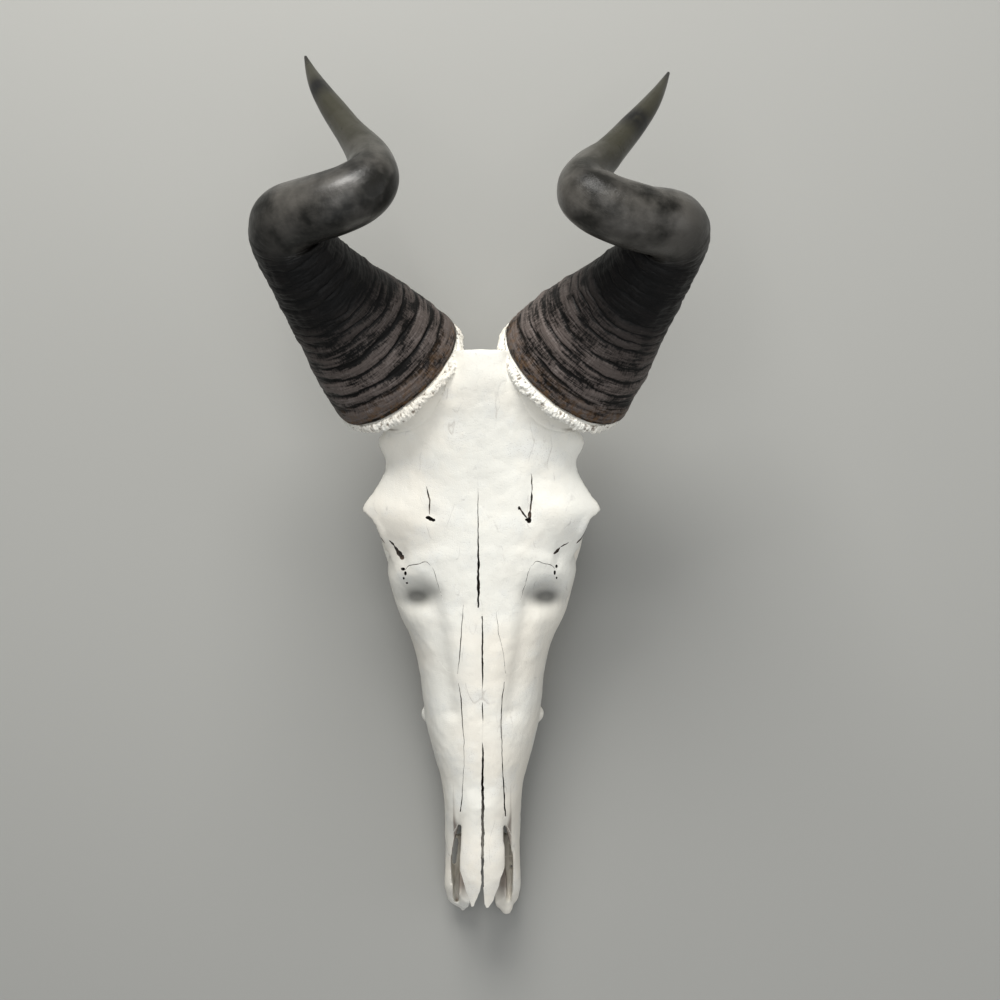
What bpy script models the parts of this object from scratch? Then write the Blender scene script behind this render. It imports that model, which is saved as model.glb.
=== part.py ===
"""Hartebeest skull with its horns, face up, lying on its teeth and the processes behind the ear.

Lengths are in millimetres here and become metres in the meshes. A place on the skull is given by x
(to the animal's side), station (distance back from the tips of the premaxillae) and z (height above
the plane of the tooth crowns). The skull is modelled whole and then parted into its bones.
"""

import math

import bmesh
import bpy
import numpy as np
from mathutils import Matrix, Vector

MM = 0.001
LEFT = -1
RIGHT = 1
BONE_GAP = 0.3
STATION_OF_ORIGIN = 306.1
X_OF_ORIGIN = -0.265

VOXEL = 2.6
SKULL_TRIANGLES = 4200
SECTION_SIDES = 28

HORN_SIDES = 16
HORN_RIDGES = 14
RIDGE_HEIGHT = 1.7
RIDGED_SHARE = 0.37
HORN_SMOOTH_RINGS = 22
COLLAR_WIDTH = 6.0

# distance behind the horn's base, change of the base's radius at the flat sides and at the ends of
# the oval, shift inwards, share of the collar
BOSS_STEPS = (
    (62.0, -20.0, -28.0, 8.0, 0.0),
    (30.0, -9.0, -19.0, 5.0, 0.0),
    (12.0, -3.0, -9.0, 1.5, 0.2),
    (3.5, -1.0, -2.5, 0.0, 1.0),
    (-1.5, -1.0, -2.5, 0.0, 1.0),
)

# station, half-width, lowest, height of the widest place, highest
FACE = (
    (5.0, 19.5, 8.0, 13.0, 17.0),
    (9.0, 24.5, 8.0, 14.0, 22.0),
    (16.0, 27.0, 8.0, 18.0, 30.0),
    (40.0, 27.6, 9.0, 24.0, 48.0),
    (68.0, 27.6, 11.0, 28.0, 64.0),
    (82.0, 27.8, 12.0, 30.0, 74.0),
    (105.0, 30.4, 13.0, 32.0, 80.0),
    (127.0, 36.4, 15.0, 34.0, 86.0),
    (144.0, 40.5, 16.0, 36.0, 90.0),
    (162.0, 42.9, 17.0, 40.0, 94.0),
    (183.0, 45.2, 18.0, 46.0, 99.0),
    (198.0, 47.8, 18.0, 52.0, 103.0),
    (211.0, 51.7, 19.0, 56.0, 106.0),
    (225.0, 58.3, 20.0, 62.0, 109.0),
    (244.0, 64.0, 24.0, 70.0, 113.0),
    (259.0, 67.0, 30.0, 76.0, 117.0),
    (272.0, 64.0, 36.0, 82.0, 121.0),
    (286.0, 48.0, 38.0, 86.0, 123.0),
    (302.0, 41.0, 38.0, 86.0, 126.0),
    (322.0, 44.0, 36.0, 84.0, 130.0),
    (345.0, 52.0, 38.0, 84.0, 138.0),
    (365.0, 53.0, 42.0, 86.0, 146.0),
    (382.0, 46.0, 50.0, 90.0, 146.0),
    (393.0, 34.0, 58.0, 94.0, 134.0),
)

# station, half-width, height of the midline, fall to the edge, thickness
BROW = (
    (226.0, 30.0, 108.0, 8.0, 14.0),
    (244.0, 55.0, 114.0, 14.0, 18.0),
    (262.0, 62.0, 118.5, 14.0, 18.0),
    (279.0, 68.5, 122.5, 13.0, 16.0),
    (290.0, 75.0, 125.0, 11.0, 12.0),
    (302.0, 83.0, 127.0, 10.0, 11.0),
    (314.0, 75.0, 130.0, 10.0, 12.0),
    (334.0, 66.0, 135.5, 11.0, 16.0),
    (350.0, 71.0, 141.0, 14.0, 20.0),
    (362.0, 62.0, 145.0, 12.0, 22.0),
    (372.0, 53.0, 149.0, 10.0, 24.0),
    (394.0, 32.0, 157.0, 7.0, 30.0),
    (409.0, 20.0, 160.0, 6.0, 34.0),
)

# station, half-width, height of the midline, thickness
NASAL_ROOF = (
    (8.0, 11.0, 53.0, 6.0),
    (15.0, 12.0, 55.5, 6.5),
    (24.0, 14.5, 59.0, 7.0),
    (34.0, 16.0, 63.0, 7.5),
    (48.0, 16.6, 67.0, 8.0),
    (70.0, 15.4, 71.5, 10.0),
    (90.0, 15.0, 77.5, 14.0),
)

ORBIT_CENTRE = (71.0, 300.0, 92.0)
ORBIT_RADII = (35.0, 22.0, 20.5)
ORBIT_RIM = (
    (73.5, 301.0, 113.0),
    (66.0, 284.0, 106.0),
    (63.5, 274.0, 92.0),
    (64.0, 281.0, 74.0),
    (65.5, 300.0, 66.0),
    (65.0, 319.0, 72.0),
    (62.0, 327.0, 92.0),
    (65.0, 317.0, 108.0),
)
ORBIT_RIM_RADIUS = 4.6
ARCH = (
    (54.0, 246.0, 58.0),
    (64.0, 268.0, 61.0),
    (67.5, 286.0, 62.0),
    (68.0, 306.0, 62.0),
    (62.0, 330.0, 68.0),
    (47.0, 352.0, 78.0),
)
ARCH_RADIUS = 6.0

# distance from the midline, station, z, and the three radii, one on each side of the skull
PAIRED_MASSES = {
    "ear_bulla": ((23.0, 340.0, 34.0), (11.0, 15.0, 16.0)),
    "condyle": ((19.0, 387.0, 46.0), (13.0, 11.0, 15.0)),
    "face_tuber": ((39.0, 152.0, 36.0), (6.0, 6.5, 7.0)),
    "ear_base": ((45.0, 352.0, 66.0), (14.0, 16.0, 16.0)),
    "wing": ((14.0, 268.0, 36.0), (4.5, 26.0, 20.0)),
}
SINGLE_HOLLOWS = {
    "palate_vault": ((0.0, 190.0, 8.0), (23.0, 75.0, 15.0)),
    "incisor_gap": ((0.0, 4.0, 14.0), (10.5, 40.0, 16.0)),
    "spinal_opening": ((0.0, 396.0, 62.0), (11.0, 22.0, 10.0)),
    "throat": ((0.0, 290.0, 40.0), (9.0, 30.0, 16.0)),
}
PAIRED_HOLLOWS = {
    "temple": ((74.0, 338.0, 92.0), (24.0, 26.0, 22.0)),
    "gland_pit": ((45.0, 244.0, 114.0), (15.0, 12.0, 21.0)),
    "valley": ((28.0, 208.0, 118.0), (8.0, 44.0, 20.0)),
}
NOSE_CAVITY = ((0.0, 30.0, 40.0), (20.6, 92.0, 21.0))
BASE_LOW = (0.0, 330.0, 30.0)
BASE_HIGH = (0.0, 330.0, 60.0)
BASE_RADII = ((14.0, 52.0), (20.0, 56.0))

# front tips of the premaxilla: station, distance from the midline, half-width, mid height, half height
PRONG = {
    LEFT: (
        (1.8, 15.0, 0.9, 12.0, 2.5),
        (6.0, 14.4, 2.8, 13.0, 4.0),
        (14.0, 13.6, 4.0, 14.0, 5.5),
        (30.0, 13.2, 4.5, 15.0, 6.0),
        (60.0, 13.5, 5.0, 16.0, 6.0),
    ),
    RIGHT: (
        (0.0, 18.0, 2.4, 12.0, 3.0),
        (4.0, 17.6, 4.6, 13.0, 4.5),
        (12.0, 17.0, 5.8, 14.0, 5.5),
        (28.0, 15.5, 5.6, 15.0, 6.0),
        (60.0, 14.0, 5.5, 16.0, 6.0),
    ),
}

# the side wall of the nose is cut down beyond this outline and above this slope
NOSE_SIDE_OUTLINE = ((15.8, -10.0), (60.0, -10.0), (60.0, 82.0), (17.0, 82.0), (15.9, 60.0))
NOSE_SIDE_PROFILE = ((-10.0, 12.0), (0.0, 20.0), (20.0, 32.0), (60.0, 56.0), (84.0, 71.0), (84.0, 140.0),
                     (-10.0, 140.0))
# the slit beside each nasal, from the tip of the muzzle back, and how deep it goes
SLIT_OUTLINE = ((17.8, 8.0), (20.6, 9.5), (21.8, 20.0), (22.6, 36.0), (22.3, 48.0), (20.2, 60.0),
                (17.2, 72.0), (15.6, 80.0), (13.6, 79.0), (14.0, 60.0), (15.0, 45.0), (17.2, 30.0))
SLIT_PROFILE = ((-10.0, 13.0), (90.0, 13.0), (90.0, 140.0), (-10.0, 140.0))

# x, station, z, radius, of the left horn's middle line
HORN_PATH = (
    (-57.0, 397.0, 125.0, 50.7),
    (-76.0, 419.0, 146.0, 44.2),
    (-96.0, 440.5, 171.0, 34.0),
    (-113.0, 461.0, 198.0, 26.6),
    (-125.5, 485.0, 224.0, 23.0),
    (-110.0, 488.0, 240.0, 21.0),
    (-89.0, 492.0, 248.5, 20.4),
    (-67.0, 503.0, 246.0, 19.2),
    (-68.5, 524.0, 227.0, 14.0),
    (-80.0, 540.0, 209.5, 10.6),
    (-98.5, 568.0, 177.0, 8.0),
    (-108.0, 583.5, 159.5, 6.1),
    (-114.5, 597.0, 145.0, 3.8),
    (-120.0, 611.5, 129.0, 1.0),
)
HORN_BASE_FLATTENING = 0.81
HORN_AXIS = (-0.53, 0.61, 0.59)
HORN_WIDE_AXIS = (0.75, 0.66, 0.0)
HORN_ROUND_FROM = 0.28
HORN_CURVE_POINTS = 240
HORN_CURVE_ROUNDS = 110
RIGHT_HORN_DROP = 11.0
RIGHT_HORN_SPLAY = 8.0
RIGHT_HORN_TUCK = 2.5
# share of the length where each change of the right horn begins, and over how much it grows
RIGHT_HORN_BEND = (0.33, 0.12)
RIGHT_HORN_TIP = (0.55, 0.45)
CLEARANCE_REACH = 75.0
CLEARANCE_HEIGHT = 60.0

# length along the row and width across it, front tooth first
TEETH = ((9.0, 9.5), (12.0, 11.5), (13.0, 13.0), (17.0, 15.0), (20.5, 16.0), (19.5, 15.0))
TOOTH_ROW_START = 149.0
TOOTH_ROW_X = (31.0, 38.0)
TOOTH_ROOT_TOP = 30.0

EAR_PROCESS_LOW = (36.0, 362.0, 0.0)
EAR_PROCESS_HIGH = (33.0, 358.0, 62.0)
EAR_PROCESS_RADII = ((4.0, 6.5), (9.0, 12.0))

# where each bone lies, seen from above (distance from the midline, station) and from the side
# (station, height)
NASAL_OUTLINE = {
    LEFT: ((0.2, 34.0), (1.7, 26.3), (5.9, 14.6), (7.6, 14.0), (10.6, 22.9), (14.9, 38.2), (18.5, 48.0),
           (18.5, 62.0), (14.5, 90.0), (13.2, 120.0), (15.0, 160.0), (17.2, 183.0), (15.0, 205.0),
           (12.0, 238.0), (4.6, 237.0), (-0.55, 232.0), (-0.55, 140.0), (-0.1, 125.0)),
    RIGHT: ((1.2, 36.0), (1.0, 29.8), (1.7, 16.5), (3.1, 13.6), (4.6, 13.8), (8.2, 19.5), (12.0, 31.4),
            (15.2, 41.7), (19.0, 50.0), (19.0, 62.0), (16.0, 90.0), (14.9, 120.0), (16.4, 160.0),
            (17.4, 183.0), (16.0, 202.0), (11.0, 231.0), (4.0, 232.5), (0.85, 229.0), (0.85, 140.0),
            (1.3, 125.0)),
}
NASAL_PROFILE = ((5.0, 40.0), (40.0, 52.0), (90.0, 66.0), (150.0, 81.0), (200.0, 93.0), (240.0, 101.0),
                 (240.0, 200.0), (5.0, 200.0))
PREMAXILLA_OUTLINE = ((0.5, -10.0), (70.0, -10.0), (70.0, 43.0), (27.3, 44.0), (25.8, 54.0),
                      (22.5, 63.0), (16.6, 78.0), (0.5, 79.0))
PREMAXILLA_PROFILE = ((-10.0, -10.0), (46.0, -10.0), (44.0, 22.0), (56.0, 44.0), (86.0, 64.0),
                      (86.0, 120.0), (-10.0, 120.0))
LACRIMAL_OUTLINE = ((12.0, 186.0), (24.0, 188.0), (38.0, 205.0), (56.0, 232.0), (90.0, 262.0),
                    (90.0, 276.0), (60.0, 268.0), (51.3, 263.2), (44.0, 264.5), (38.2, 266.4),
                    (34.0, 262.5), (30.5, 252.0), (26.4, 237.6), (12.0, 238.0))
LACRIMAL_PROFILE = ((180.0, 72.0), (290.0, 72.0), (290.0, 200.0), (180.0, 200.0))
ZYGOMATIC_OUTLINE = ((50.0, 230.0), (100.0, 230.0), (100.0, 346.0), (50.0, 346.0))
ZYGOMATIC_PROFILE = ((244.0, 46.0), (346.0, 46.0), (346.0, 90.0), (290.0, 88.0), (268.0, 84.0),
                     (244.0, 71.0))
FRONTAL_OUTLINE = {
    LEFT: ((2.15, 210.0), (150.0, 210.0), (150.0, 470.0), (2.15, 470.0)),
    RIGHT: ((-1.85, 210.0), (150.0, 210.0), (150.0, 470.0), (-1.85, 470.0)),
}
FRONTAL_PROFILE = ((222.0, 96.0), (300.0, 95.0), (340.0, 96.0), (352.0, 70.0), (470.0, 30.0),
                   (470.0, 260.0), (222.0, 260.0))
MAXILLA_OUTLINE = ((0.15, -10.0), (90.0, -10.0), (90.0, 256.0), (0.15, 256.0))
MAXILLA_PROFILE = ((-10.0, -10.0), (262.0, -10.0), (252.0, 110.0), (-10.0, 110.0))
PALATINE_OUTLINE = ((-70.0, 240.0), (70.0, 240.0), (70.0, 304.0), (-70.0, 304.0))
PALATINE_PROFILE = ((240.0, -10.0), (304.0, -10.0), (304.0, 62.0), (240.0, 62.0))
OCCIPITAL_OUTLINE = ((-46.0, 345.0), (46.0, 345.0), (46.0, 400.0), (-46.0, 400.0))
OCCIPITAL_PROFILE = ((349.0, -10.0), (404.0, -10.0), (404.0, 122.0), (384.0, 122.0), (376.0, 60.0),
                     (349.0, 52.0))

BONE_WHITE = (0.80, 0.79, 0.74)
HORN_BROWN = (0.045, 0.034, 0.027)


def clear_scene():
    """Remove what the new file starts with."""
    for old in list(bpy.data.objects):
        bpy.data.objects.remove(old, do_unlink=True)


def plain_material(name, colour, roughness):
    """A Principled material of one colour."""
    material = bpy.data.materials.new(name)
    material.use_nodes = True
    shader = material.node_tree.nodes["Principled BSDF"]
    shader.inputs["Base Color"].default_value = (*colour, 1.0)
    shader.inputs["Roughness"].default_value = roughness
    shader.inputs["Metallic"].default_value = 0.0
    return material


def place(points):
    """Skull millimetres to world metres."""
    moved = np.asarray(points, dtype=float) - np.array([X_OF_ORIGIN, STATION_OF_ORIGIN, 0.0])
    return moved * MM


def solid(name, points, faces, collection):
    """A closed mesh object with its faces pointing out."""
    mesh = bpy.data.meshes.new(name)
    mesh.from_pydata([tuple(p) for p in place(points)], [], faces)
    shape = bmesh.new()
    shape.from_mesh(mesh)
    bmesh.ops.remove_doubles(shape, verts=shape.verts, dist=1e-6)
    bmesh.ops.recalc_face_normals(shape, faces=shape.faces)
    bmesh.ops.triangulate(shape, faces=shape.faces)
    shape.to_mesh(mesh)
    shape.free()
    item = bpy.data.objects.new(name, mesh)
    collection.objects.link(item)
    return item


def loft(name, rings, collection):
    """A skin over closed rings of equal point count, capped at both ends."""
    count = len(rings[0])
    faces = []
    for ring in range(len(rings) - 1):
        for side in range(count):
            after = (side + 1) % count
            low, high = ring * count, (ring + 1) * count
            faces.append((low + side, low + after, high + after, high + side))
    last = (len(rings) - 1) * count
    faces.append(tuple(range(count)))
    faces.append(tuple(range(last, last + count)))
    return solid(name, np.concatenate(rings), faces, collection)


def smooth_rows(rows, count):
    """Rows read at even steps from a smooth curve through the given rows, by their first column."""
    table = np.asarray(rows, dtype=float)
    place_on = table[:, 0]
    slope = np.gradient(table, place_on, axis=0)
    wanted = np.linspace(place_on[0], place_on[-1], count)
    at = np.clip(np.searchsorted(place_on, wanted, side="right") - 1, 0, len(place_on) - 2)
    span = (place_on[at + 1] - place_on[at])[:, None]
    t = ((wanted - place_on[at])[:, None]) / span
    return (
        (2 * t**3 - 3 * t**2 + 1) * table[at]
        + (t**3 - 2 * t**2 + t) * span * slope[at]
        + (3 * t**2 - 2 * t**3) * table[at + 1]
        + (t**3 - t**2) * span * slope[at + 1]
    )


def face_loft(collection):
    """The muzzle, cheeks and braincase as one tapering body with rounded sections."""
    turn = np.linspace(0.0, 2.0 * math.pi, SECTION_SIDES, endpoint=False)
    rings = []
    for station, half, low, waist, high in smooth_rows(FACE, 60):
        across = np.sign(np.cos(turn)) * np.abs(np.cos(turn)) ** 0.8
        rise = np.sign(np.sin(turn)) * np.abs(np.sin(turn)) ** 0.85
        z = waist + np.where(rise > 0, (high - waist) * rise, (waist - low) * rise)
        rings.append(np.column_stack([half * across, np.full_like(turn, station), z]))
    return loft("face", rings, collection)


def plate_loft(name, rows, fall, thickness, count, collection):
    """A crowned plate across the skull: its top falls to the edges, where it thins to a round rim."""
    turn = np.linspace(0.0, 2.0 * math.pi, SECTION_SIDES, endpoint=False)
    rings = []
    for row in smooth_rows(rows, count):
        across = np.sign(np.cos(turn)) * np.abs(np.cos(turn)) ** 0.7
        crown = row[2] - fall(row) * across**2
        z = crown - thickness(row) * (0.5 - 0.5 * np.sin(turn))
        rings.append(np.column_stack([row[1] * across, np.full_like(turn, row[0]), z]))
    return loft(name, rings, collection)


def prong_loft(side, collection):
    """The front tip of one premaxilla, a tapering bar with oval sections."""
    turn = np.linspace(0.0, 2.0 * math.pi, 14, endpoint=False)
    rings = []
    for station, x, half, middle, half_height in smooth_rows(PRONG[side], 16):
        across = side * x + half * np.cos(turn)
        height = middle + half_height * np.sin(turn)
        rings.append(np.column_stack([across, np.full_like(turn, station), height]))
    return loft("prong", rings, collection)


def tube(name, points, radius, closed, collection):
    """A round bar along a curve, made a mesh with its caps welded."""
    curve = bpy.data.curves.new(name, "CURVE")
    curve.dimensions = "3D"
    curve.bevel_depth = radius * MM
    curve.bevel_resolution = 3
    curve.use_fill_caps = True
    spline = curve.splines.new("POLY")
    spline.points.add(len(points) - 1)
    for point, at in zip(spline.points, place(points)):
        point.co = (*at, 1.0)
    spline.use_cyclic_u = closed
    item = bpy.data.objects.new(name, curve)
    collection.objects.link(item)
    return as_mesh(item, collection)


def as_mesh(item, collection):
    """The evaluated shape of an object as a new closed mesh object, in place of the old one."""
    bpy.context.view_layer.update()
    evaluated = item.evaluated_get(bpy.context.evaluated_depsgraph_get())
    mesh = bpy.data.meshes.new_from_object(evaluated)
    mesh.transform(item.matrix_world)
    name = item.name
    bpy.data.objects.remove(item, do_unlink=True)
    shape = bmesh.new()
    shape.from_mesh(mesh)
    bmesh.ops.remove_doubles(shape, verts=shape.verts, dist=1e-6)
    bmesh.ops.recalc_face_normals(shape, faces=shape.faces)
    shape.to_mesh(mesh)
    shape.free()
    fresh = bpy.data.objects.new(name, mesh)
    collection.objects.link(fresh)
    return fresh


def ball(name, centre, radii, collection):
    """An ellipsoid."""
    mesh = bpy.data.meshes.new(name)
    shape = bmesh.new()
    bmesh.ops.create_uvsphere(shape, u_segments=24, v_segments=16, radius=1.0)
    size = Matrix.Diagonal((*[r * MM for r in radii], 1.0))
    shape.transform(Matrix.Translation(Vector(place([centre])[0])) @ size)
    shape.to_mesh(mesh)
    shape.free()
    item = bpy.data.objects.new(name, mesh)
    collection.objects.link(item)
    return item


def taper(name, low_centre, high_centre, low_radii, high_radii, sides, collection):
    """A tapered post with level oval ends."""
    turn = np.linspace(0.0, 2.0 * math.pi, sides, endpoint=False)
    rings = []
    for centre, radii in ((low_centre, low_radii), (high_centre, high_radii)):
        x = centre[0] + radii[0] * np.cos(turn)
        y = centre[1] + radii[1] * np.sin(turn)
        rings.append(np.column_stack([x, y, np.full_like(turn, centre[2])]))
    return loft(name, rings, collection)


def combine(item, others, operation):
    """Apply one Boolean with a collection of closed meshes, which are then removed."""
    group = bpy.data.collections.new("operands")
    for other in others:
        group.objects.link(other)
    step = item.modifiers.new("combine", "BOOLEAN")
    step.operand_type = "COLLECTION"
    step.collection = group
    step.operation = operation
    step.solver = "MANIFOLD"
    apply_modifiers(item)
    for other in others:
        bpy.data.objects.remove(other, do_unlink=True)
    bpy.data.collections.remove(group)
    return item


def apply_modifiers(item):
    """Give an object its evaluated mesh and clear its modifiers."""
    bpy.context.view_layer.update()
    evaluated = item.evaluated_get(bpy.context.evaluated_depsgraph_get())
    mesh = bpy.data.meshes.new_from_object(evaluated)
    item.modifiers.clear()
    old = item.data
    item.data = mesh
    bpy.data.meshes.remove(old)


def copy_of(item, name, collection):
    """A copy with its own mesh."""
    fresh = bpy.data.objects.new(name, item.data.copy())
    collection.objects.link(fresh)
    return fresh


def keep_largest(item):
    """Delete all but the closed surface that holds the most space, and merge slivers."""
    shape = bmesh.new()
    shape.from_mesh(item.data)
    bmesh.ops.remove_doubles(shape, verts=shape.verts, dist=1e-6)
    unseen = set(shape.verts)
    pieces = []
    while unseen:
        piece = {unseen.pop()}
        edge_of_piece = list(piece)
        while edge_of_piece:
            vert = edge_of_piece.pop()
            near = {edge.other_vert(vert) for edge in vert.link_edges} & unseen
            unseen -= near
            piece |= near
            edge_of_piece.extend(near)
        faces = {face for vert in piece for face in vert.link_faces}
        space = sum(face.calc_center_median().dot(face.normal) * face.calc_area() for face in faces) / 3.0
        pieces.append((space, piece))
    pieces.sort(key=lambda pair: pair[0])
    for _, piece in pieces[:-1]:
        bmesh.ops.delete(shape, geom=list(piece), context="VERTS")
    bmesh.ops.triangulate(shape, faces=shape.faces)
    shape.to_mesh(item.data)
    shape.free()


def grown_outline(points, gap):
    """A flat outline with each side moved outwards by the gap."""
    corners = np.asarray(points, dtype=float)
    before = np.roll(corners, 1, axis=0)
    after = np.roll(corners, -1, axis=0)
    area = np.sum(corners[:, 0] * after[:, 1] - after[:, 0] * corners[:, 1])
    turn = 1.0 if area > 0 else -1.0
    back = corners - before
    ahead = after - corners
    back_out = turn * np.column_stack([back[:, 1], -back[:, 0]]) / np.linalg.norm(back, axis=1)[:, None]
    ahead_out = turn * np.column_stack([ahead[:, 1], -ahead[:, 0]]) / np.linalg.norm(ahead, axis=1)[:, None]
    share = 1.0 + np.sum(back_out * ahead_out, axis=1)
    return corners + gap * (back_out + ahead_out) / share[:, None]


def plan_prism(name, side, outline, gap, collection):
    """An outline of distance from the midline and station, upright through the whole skull."""
    corners = grown_outline(outline, gap)
    rings = []
    for z in (-20.0, 320.0):
        rings.append(np.column_stack([side * corners[:, 0], corners[:, 1], np.full(len(corners), z)]))
    return loft(name, rings, collection)


def side_prism(name, profile, gap, collection):
    """An outline of station and height, level from side to side through the whole skull."""
    corners = grown_outline(profile, gap)
    rings = []
    for x in (-170.0, 170.0):
        rings.append(np.column_stack([np.full(len(corners), x), corners[:, 0], corners[:, 1]]))
    return loft(name, rings, collection)


def block(name, side, outline, profile, gap, collection):
    """The space that lies inside both an outline from above and one from the side."""
    space = plan_prism(name, side, outline, gap, collection)
    return combine(space, [side_prism(f"{name}_side", profile, gap, collection)], "INTERSECT")


def split_off(rest, name, side, outline, profile, collection):
    """Part one bone from the rest of the skull, with a clear gap between the two."""
    inside = block("inside", side, outline, profile, 0.0, collection)
    outside = block("outside", side, outline, profile, BONE_GAP, collection)
    bone = copy_of(rest, name, collection)
    combine(bone, [inside], "INTERSECT")
    combine(rest, [outside], "DIFFERENCE")
    keep_largest(bone)
    return bone


def horn_points(side):
    """The middle line and radius of one horn as a dense smooth curve."""
    rows = np.asarray(HORN_PATH, dtype=float)
    run = np.concatenate([[0.0], np.cumsum(np.linalg.norm(np.diff(rows[:, :3], axis=0), axis=1))])
    curve = smooth_rows(np.column_stack([run, rows]), HORN_CURVE_POINTS)
    for _ in range(HORN_CURVE_ROUNDS):
        curve[1:-1, 1:4] = 0.5 * curve[1:-1, 1:4] + 0.25 * (curve[:-2, 1:4] + curve[2:, 1:4])
    if side == RIGHT:
        share = curve[:, 0] / run[-1]
        past_bend = np.clip((share - RIGHT_HORN_BEND[0]) / RIGHT_HORN_BEND[1], 0.0, 1.0)
        to_tip = np.clip((share - RIGHT_HORN_TIP[0]) / RIGHT_HORN_TIP[1], 0.0, 1.0)
        curve[:, 1] *= -1.0
        curve[:, 1] += RIGHT_HORN_SPLAY * to_tip - RIGHT_HORN_TUCK * past_bend * (1.0 - to_tip)
        curve[:, 2] -= RIGHT_HORN_DROP * (0.5 * past_bend + 0.5 * np.clip(to_tip * 3.0, 0.0, 1.0))
    return curve


def horn_frames(curve, side):
    """Directions across the horn at each point, carried along without twist."""
    line = curve[:, 1:4]
    along = np.gradient(line, axis=0)
    along /= np.linalg.norm(along, axis=1)[:, None]
    along[0] = np.array([-side * HORN_AXIS[0], HORN_AXIS[1], HORN_AXIS[2]])
    along[0] /= np.linalg.norm(along[0])
    wide = np.array([-side * HORN_WIDE_AXIS[0], HORN_WIDE_AXIS[1], HORN_WIDE_AXIS[2]])
    wides = []
    for tangent in along:
        wide = wide - tangent * wide.dot(tangent)
        wide = wide / np.linalg.norm(wide)
        wides.append(wide)
    wides = np.array(wides)
    return along, wides, np.cross(along, wides)


def horn_stations():
    """Share of the length and ridge lift of every ring of points."""
    draw = np.random.default_rng(31)
    step = draw.uniform(0.75, 1.25, HORN_RIDGES)
    starts = RIDGED_SHARE * np.concatenate([[0.0], np.cumsum(step)[:-1]]) / step.sum()
    lengths = RIDGED_SHARE * step / step.sum()
    shares = []
    lifts = []
    for start, length in zip(starts, lengths):
        fade = 1.0 - 0.6 * start / RIDGED_SHARE
        shares += [start, start + 0.42 * length, start + 0.74 * length]
        lifts += [0.0, fade, fade * 0.8]
    smooth = np.linspace(RIDGED_SHARE, 1.0, HORN_SMOOTH_RINGS)
    return np.array(shares + list(smooth)), np.array(lifts + [0.0] * HORN_SMOOTH_RINGS)


def horn(name, side, collection):
    """One horn: oval ridged base, two bends, smooth tip."""
    curve = horn_points(side)
    _, wide, thick = horn_frames(curve, side)
    shares, lifts = horn_stations()
    dense = curve[:, 0] / curve[-1, 0]
    flatness = np.interp(shares, [0.0, HORN_ROUND_FROM], [HORN_BASE_FLATTENING, 1.0])
    turn = np.linspace(0.0, 2.0 * math.pi, HORN_SIDES, endpoint=False)
    rings = []
    for share, lift, flat in zip(shares, lifts, flatness):
        centre = np.array([np.interp(share, dense, curve[:, column]) for column in (1, 2, 3)])
        across = np.array([np.interp(share, dense, wide[:, column]) for column in range(3)])
        upward = np.array([np.interp(share, dense, thick[:, column]) for column in range(3)])
        radius = np.interp(share, dense, curve[:, 4]) + RIDGE_HEIGHT * lift
        ring = np.outer(radius * np.cos(turn), across) + np.outer(radius * flat * np.sin(turn), upward)
        rings.append(centre + ring)
    return loft(name, rings, collection)


def horn_boss(side, collection):
    """The frontal's oval stump with its rough collar, which thins at the two ends of the oval."""
    curve = horn_points(side)
    along, wide, thick = horn_frames(curve, side)
    turn = np.linspace(0.0, 2.0 * math.pi, SECTION_SIDES, endpoint=False)
    collar = np.clip((0.93 - np.abs(np.cos(turn))) / 0.25, 0.0, 1.0)
    rings = []
    for back, flat_side, end, inwards, collar_share in BOSS_STEPS:
        centre = curve[0, 1:4] - along[0] * back + wide[0] * inwards
        change = flat_side + (end - flat_side) * np.cos(turn) ** 2
        radius = curve[0, 4] + change + COLLAR_WIDTH * collar * collar_share
        ring = (radius * np.cos(turn))[:, None] * wide[0]
        ring = ring + (radius * HORN_BASE_FLATTENING * np.sin(turn))[:, None] * thick[0]
        rings.append(centre + ring)
    return loft("boss", rings, collection)


def horn_clearance(side, collection):
    """The space above a horn's base plane, which cuts its boss flat and clear of the horn."""
    curve = horn_points(side)
    along, wide, thick = horn_frames(curve, side)
    base = curve[0, 1:4] - along[0] * BONE_GAP
    reach = CLEARANCE_REACH
    corners = [(-reach, -reach), (reach, -reach), (reach, reach), (-reach, reach)]
    rings = []
    for out in (0.0, CLEARANCE_HEIGHT):
        rings.append(np.array([base + along[0] * out + wide[0] * a + thick[0] * b for a, b in corners]))
    return loft("clearance", rings, collection)


def mirrored(points, side):
    """The points on one side of the skull."""
    return [(side * x, station, z) for x, station, z in points]


def at_side(centre, side):
    """A place on one side of the skull."""
    return (side * centre[0], centre[1], centre[2])


def open_muzzle(collection):
    """The face body with its nose opened from the front and from above."""
    muzzle = face_loft(collection)
    openings = [ball("nose_cavity", *NOSE_CAVITY, collection)]
    for side in (LEFT, RIGHT):
        openings.append(block("nose_side", side, NOSE_SIDE_OUTLINE, NOSE_SIDE_PROFILE, 0.0, collection))
        openings.append(block("slit", side, SLIT_OUTLINE, SLIT_PROFILE, 0.0, collection))
    return combine(muzzle, openings, "DIFFERENCE")


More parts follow.
